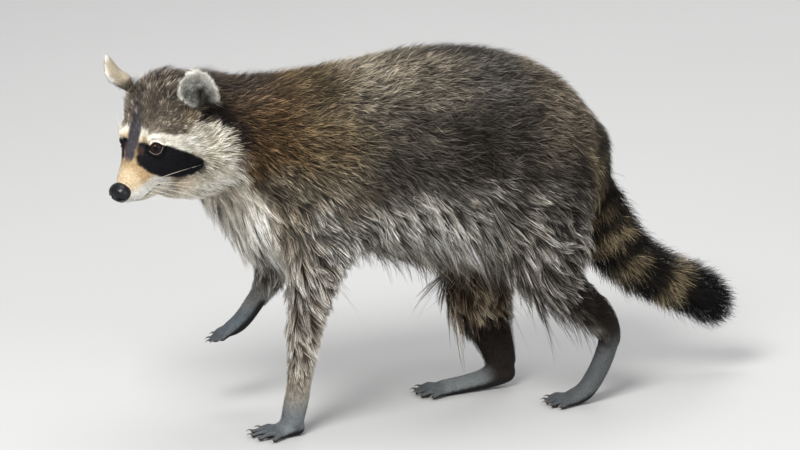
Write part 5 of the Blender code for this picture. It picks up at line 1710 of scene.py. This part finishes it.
# ------------------------------------------------------------- nose pad
def nose_pad():
    bm = bmesh.new()
    bmesh.ops.create_icosphere(bm, subdivisions=6, radius=1.0)
    mesh = bpy.data.meshes.new("nose")
    bm.to_mesh(mesh)
    bm.free()
    v = coords(mesh)
    q = v * NOSE_PAD
    f, l, u = q.T.copy()
    al = np.abs(l)
    # broad above, narrower below, with a flatter face
    l = l * (1 - 0.20 * ramp(0, -8.8, u)) * (1 + 0.03 * ramp(0, 8, u))
    f = np.where(f > 4.5, 4.5 + (f - 4.5) * 0.72, f)
    f = f + 0.9 * ramp(-8, 6, u) * ramp(0, 8, f)
    q = np.stack([f, l, u], axis=1)
    outward = unit(v / NOSE_PAD)
    # nostrils, the slits that run back from them, and the groove below
    al = np.abs(q[:, 1])
    dent = 3.6 * np.exp(-(((al - 4.7) / 1.75) ** 2) - (((u + 0.4) / 1.9) ** 2)) * ramp(1, 5, f)
    slit_u = -1.2 - 0.22 * (6.0 - f)
    dent += 1.7 * np.exp(-(((u - slit_u) / 0.95) ** 2)) * ramp(4.5, 7.0, al) * ramp(-3.5, 0.5, f)
    dent += 0.9 * np.exp(-((l / 0.75) ** 2)) * ramp(1.0, -2.5, u) * ramp(2, 5, f)
    dent += 0.35 * np.exp(-((l / 1.4) ** 2)) * ramp(-2, 3, u) * ramp(2, 5, f)
    rim = 0.55 * np.exp(-(((np.hypot((al - 4.7) / 1.15, (u + 0.4)) - 3.1) / 0.9) ** 2)) * ramp(1, 5, f)
    q = q - outward * (dent - rim)[:, None]
    put_coords(mesh, to_metres(at_head(q)))
    # darker in the nostrils, slits and groove: painted shade in the dents
    dent_shade = np.clip(dent / 3.0, 0, 1)[:, None]
    colour = mix(np.tile(np.array((0.006, 0.0065, 0.0075)), (len(q), 1)), np.array((0.003, 0.003, 0.003)), dent_shade[:, 0])
    colour_layer(mesh, "nose_colour", colour)
    mesh.shade_smooth()
    return mesh


def nose_look():
    made, tree, shader = new_material("nose_leather")
    link = tree.links.new
    colour = tree.nodes.new("ShaderNodeAttribute")
    colour.attribute_name = "nose_colour"
    where = tree.nodes.new("ShaderNodeTexCoord")
    cells = tree.nodes.new("ShaderNodeTexVoronoi")
    cells.inputs["Scale"].default_value = 1500.0
    link(where.outputs["Object"], cells.inputs["Vector"])
    soft = tree.nodes.new("ShaderNodeTexNoise")
    soft.inputs["Scale"].default_value = 500.0
    link(where.outputs["Object"], soft.inputs["Vector"])
    wet = tree.nodes.new("ShaderNodeMapRange")
    wet.inputs["To Min"].default_value = 0.26
    wet.inputs["To Max"].default_value = 0.46
    link(soft.outputs["Fac"], wet.inputs["Value"])
    link(wet.outputs["Result"], shader.inputs["Roughness"])
    bump = tree.nodes.new("ShaderNodeBump")
    bump.inputs["Strength"].default_value = 0.35
    bump.inputs["Distance"].default_value = 0.0003
    link(cells.outputs["Distance"], bump.inputs["Height"])
    link(bump.outputs["Normal"], shader.inputs["Normal"])
    link(colour.outputs["Color"], shader.inputs["Base Color"])
    shader.inputs["Specular IOR Level"].default_value = 0.5
    shader.inputs["Coat Weight"].default_value = 0.20
    shader.inputs["Coat Roughness"].default_value = 0.17
    shader.inputs["IOR"].default_value = 1.25
    return made


as_object("nose_pad", nose_pad(), nose_look(), ["nose"])


# ------------------------------------------------------------- claws
def claw(start, way, size=1.0):
    side = unit(np.cross(way, (0, 0, 1.0)))
    rings = []
    spots = []
    for t in np.linspace(0, 1, 12):
        p = start + way * (CLAW_LENGTH * size * t) + size * np.array((0, 0, 0.9 * math.sin(math.pi * min(t, 0.6)) - 2.2 * t * t))
        rings.append(p)
        spots.append(t)
    rings = np.array(rings)
    tangents = unit(np.gradient(rings, axis=0))
    angles = np.linspace(0, 2 * np.pi, 14, endpoint=False)
    loops = []
    for p, tan, t in zip(rings, tangents, spots):
        r = CLAW_RADIUS * (0.4 + 0.6 * size) * (1 - 0.86 * t**1.25)
        across = unit(side - tan * (side @ tan))
        up = np.cross(across, tan)
        if up[2] < 0:
            up = -up
        wave = np.where(np.sin(angles) < 0, 0.75, 1.0)
        loops.append(p + across * (0.72 * r * np.cos(angles))[:, None] + up * (r * np.sin(angles) * wave)[:, None])
    points, faces = tube([loops[0] - tangents[0] * 1.6, *loops], rings[0] - tangents[0] * 2.0, rings[-1] + tangents[-1] * 0.15)
    shade = np.repeat(np.array([0.0, *spots]), 14)
    shade = np.concatenate([shade, [0.0, 1.0]])
    return points, faces, shade


CLAW_LOOK = painted("claw_horn", "claw_colour", 0.34, 0.5, 0.22, 500.0, bump=0.2, bump_scale=900.0, bump_far=0.0002, coat=0.15, coat_rough=0.25)
for foot in TOES:
    drop = TOES[foot][3]
    parts, shades = [], []
    for start, way, reach in toe_ways(foot):
        begin = start + way * (reach + 0.6)
        begin[2] += 1.0 if drop else 0.2
        points, faces, shade = claw(begin, unit(way), 0.55 if drop else 0.76)
        parts.append((points, faces))
        shades.append(shade)
    mesh = mesh_of(f"claws_{foot}", parts)
    t = np.concatenate(shades)
    colour = mix(np.tile(np.array((0.085, 0.070, 0.058)), (len(t), 1)), np.array((0.23, 0.195, 0.15)), ramp(0.05, 0.9, t))
    put_coords(mesh, to_metres(coords(mesh)))
    colour_layer(mesh, "claw_colour", colour)
    mesh.shade_smooth()
    as_object(f"claws_{foot}", mesh, CLAW_LOOK, [f"claw_{foot}_{i}" for i in range(1, 6)])


# ------------------------------------------------------------- whiskers
def hair_tube(points, radii, sides=5):
    points = np.array(points)
    tangents = unit(np.gradient(points, axis=0))
    angles = np.linspace(0, 2 * np.pi, sides, endpoint=False)
    ref = unit(np.cross(tangents[0], (0.13, 0.27, 0.95)))
    loops = []
    for p, tan, r in zip(points, tangents, radii):
        a = unit(ref - tan * (ref @ tan))
        b = np.cross(tan, a)
        loops.append(p + (a * np.cos(angles)[:, None] + b * np.sin(angles)[:, None]) * r)
    return tube(loops, points[0] - tangents[0] * radii[0] * 0.5, points[-1] + tangents[-1] * 0.2)


def whiskers():
    rng = np.random.default_rng(8)
    parts, shades = [], []
    for side in (-1, 1):
        # on the lip: rows from front to back, each further back longer
        for row, u0 in enumerate((-3.0, -6.5, -10.0)):
            for i, f0 in enumerate((-13, -18, -23, -28)):
                if row == 0 and i == 0:
                    continue
                half = np.interp(-f0, (5, 13, 22, 32), (10, 15, 18.5, 22.5))
                start = np.array((f0, side * (half - 1.4), u0))
                out = unit((-0.22 - 0.12 * i + rng.normal(0, 0.06), side * (1.0 - 0.05 * i), -0.06 - 0.20 * row - 0.05 * i + rng.normal(0, 0.07)))
                if i == 3 and row == 0:
                    out = unit((-0.8, side * 0.62, -0.06))
                size = 28 + 9.5 * i + 5 * rng.random() - 3 * row
                parts.append((start, out, size, 0.18 + 0.02 * i, rng.normal(0, 0.05), -0.14 - 0.05 * row))
        # above the eye and on the cheek
        for start, out, size in (
            ((-45, side * 19, 39), (-0.35, side * 0.45, 1.0), 20),
            ((-47, side * 23, 38), (-0.55, side * 0.65, 0.85), 17),
            ((-52, side * 40, -20), (-0.8, side * 0.8, -0.35), 20),
        ):
            parts.append((np.array(start, float), unit(out), size, 0.13, 0.03, -0.05))
    meshes = []
    for start, out, size, thick, sway, sag in parts:
        t = np.linspace(0, 1, 15)
        back = unit(np.cross(out, (0, 0, 1.0)))
        points = (
            start
            + out * (size * t)[:, None]
            + np.array((-1.0, 0, 0)) * (0.13 * size * t * t)[:, None]
            + np.array((0, 0, 1.0)) * (sag * size * t * t)[:, None]
            + back * (sway * size * t * t)[:, None]
        )
        radii = thick * (1 - 0.86 * t)
        meshes.append(hair_tube(at_head(points), radii))
        shades.append(np.concatenate([np.repeat(t, 5), [0, 1]]))
    mesh = mesh_of("whiskers", meshes)
    t = np.concatenate(shades)
    colour = mix(np.tile(np.array((0.50, 0.44, 0.34)), (len(t), 1)), np.array((0.74, 0.68, 0.54)), t)
    put_coords(mesh, to_metres(coords(mesh)))
    colour_layer(mesh, "whisker_colour", colour)
    mesh.shade_smooth()
    return mesh


WHISKER_LOOK = painted("whisker", "whisker_colour", 0.35, 0.5, 0.10, 300.0)
as_object("whiskers", whiskers(), WHISKER_LOOK)


# ------------------------------------------------------------- floor, light and camera
def floor():
    mesh = bpy.data.meshes.new("floor")
    r = 9.0
    mesh.from_pydata([(-r, -r, 0), (r, -r, 0), (r, r, 0), (-r, r, 0)], [], [(0, 1, 2, 3)])
    made, tree, shader = new_material("floor_pale")
    where = tree.nodes.new("ShaderNodeTexCoord")
    grain = tree.nodes.new("ShaderNodeTexNoise")
    grain.inputs["Scale"].default_value = 3.0
    tree.links.new(where.outputs["Object"], grain.inputs["Vector"])
    tone = tree.nodes.new("ShaderNodeValToRGB")
    tone.color_ramp.elements[0].color = (0.47, 0.466, 0.455, 1)
    tone.color_ramp.elements[1].color = (0.49, 0.486, 0.475, 1)
    tree.links.new(grain.outputs["Fac"], tone.inputs["Fac"])
    tree.links.new(tone.outputs["Color"], shader.inputs["Base Color"])
    shader.inputs["Roughness"].default_value = 0.85
    mesh.materials.append(made)
    obj = bpy.data.objects.new("floor", mesh)
    bpy.context.scene.collection.objects.link(obj)


floor()


def lamp(name, energy, size, place, target=(0, 0, 0.2), colour=(1, 1, 1)):
    data = bpy.data.lights.new(name, "AREA")
    data.energy = energy
    data.shape = "DISK"
    data.size = size
    data.color = colour
    obj = bpy.data.objects.new(name, data)
    obj.location = place
    way = Vector(target) - Vector(place)
    obj.rotation_euler = way.to_track_quat("-Z", "Y").to_euler()
    bpy.context.scene.collection.objects.link(obj)


lamp("key", 122, 1.3, (1.7, -1.5, 2.5))
lamp("top", 36, 2.0, (-0.2, 0.1, 3.0))
lamp("fill", 34, 2.4, (2.8, 1.2, 1.0))
lamp("back", 24, 1.8, (-2.0, 1.4, 2.0))
world = bpy.data.worlds.new("studio")
world.use_nodes = True
world.node_tree.nodes["Background"].inputs["Color"].default_value = (0.93, 0.95, 1.0, 1)
world.node_tree.nodes["Background"].inputs["Strength"].default_value = 0.48
bpy.context.scene.world = world
bpy.context.scene.view_settings.view_transform = "Standard"
bpy.context.scene.view_settings.look = "None"

azimuth, elevation, distance = math.radians(70), math.radians(15), 6.0
back = np.array(
    (math.sin(azimuth) * math.cos(elevation), -math.cos(azimuth) * math.cos(elevation), math.sin(elevation))
)
target = np.array((0.0, -4.3, 191.2))
camera = bpy.data.cameras.new("camera")
camera.lens = 270
camera.sensor_width = 36
camera.sensor_fit = "HORIZONTAL"
camera.clip_start, camera.clip_end = 0.1, 60
view = bpy.data.objects.new("camera", camera)
view.location = to_metres(target) + back * distance
view.rotation_mode = "QUATERNION"
view.rotation_quaternion = Vector(-back).to_track_quat("-Z", "Y")
bpy.context.scene.collection.objects.link(view)
bpy.context.scene.camera = view
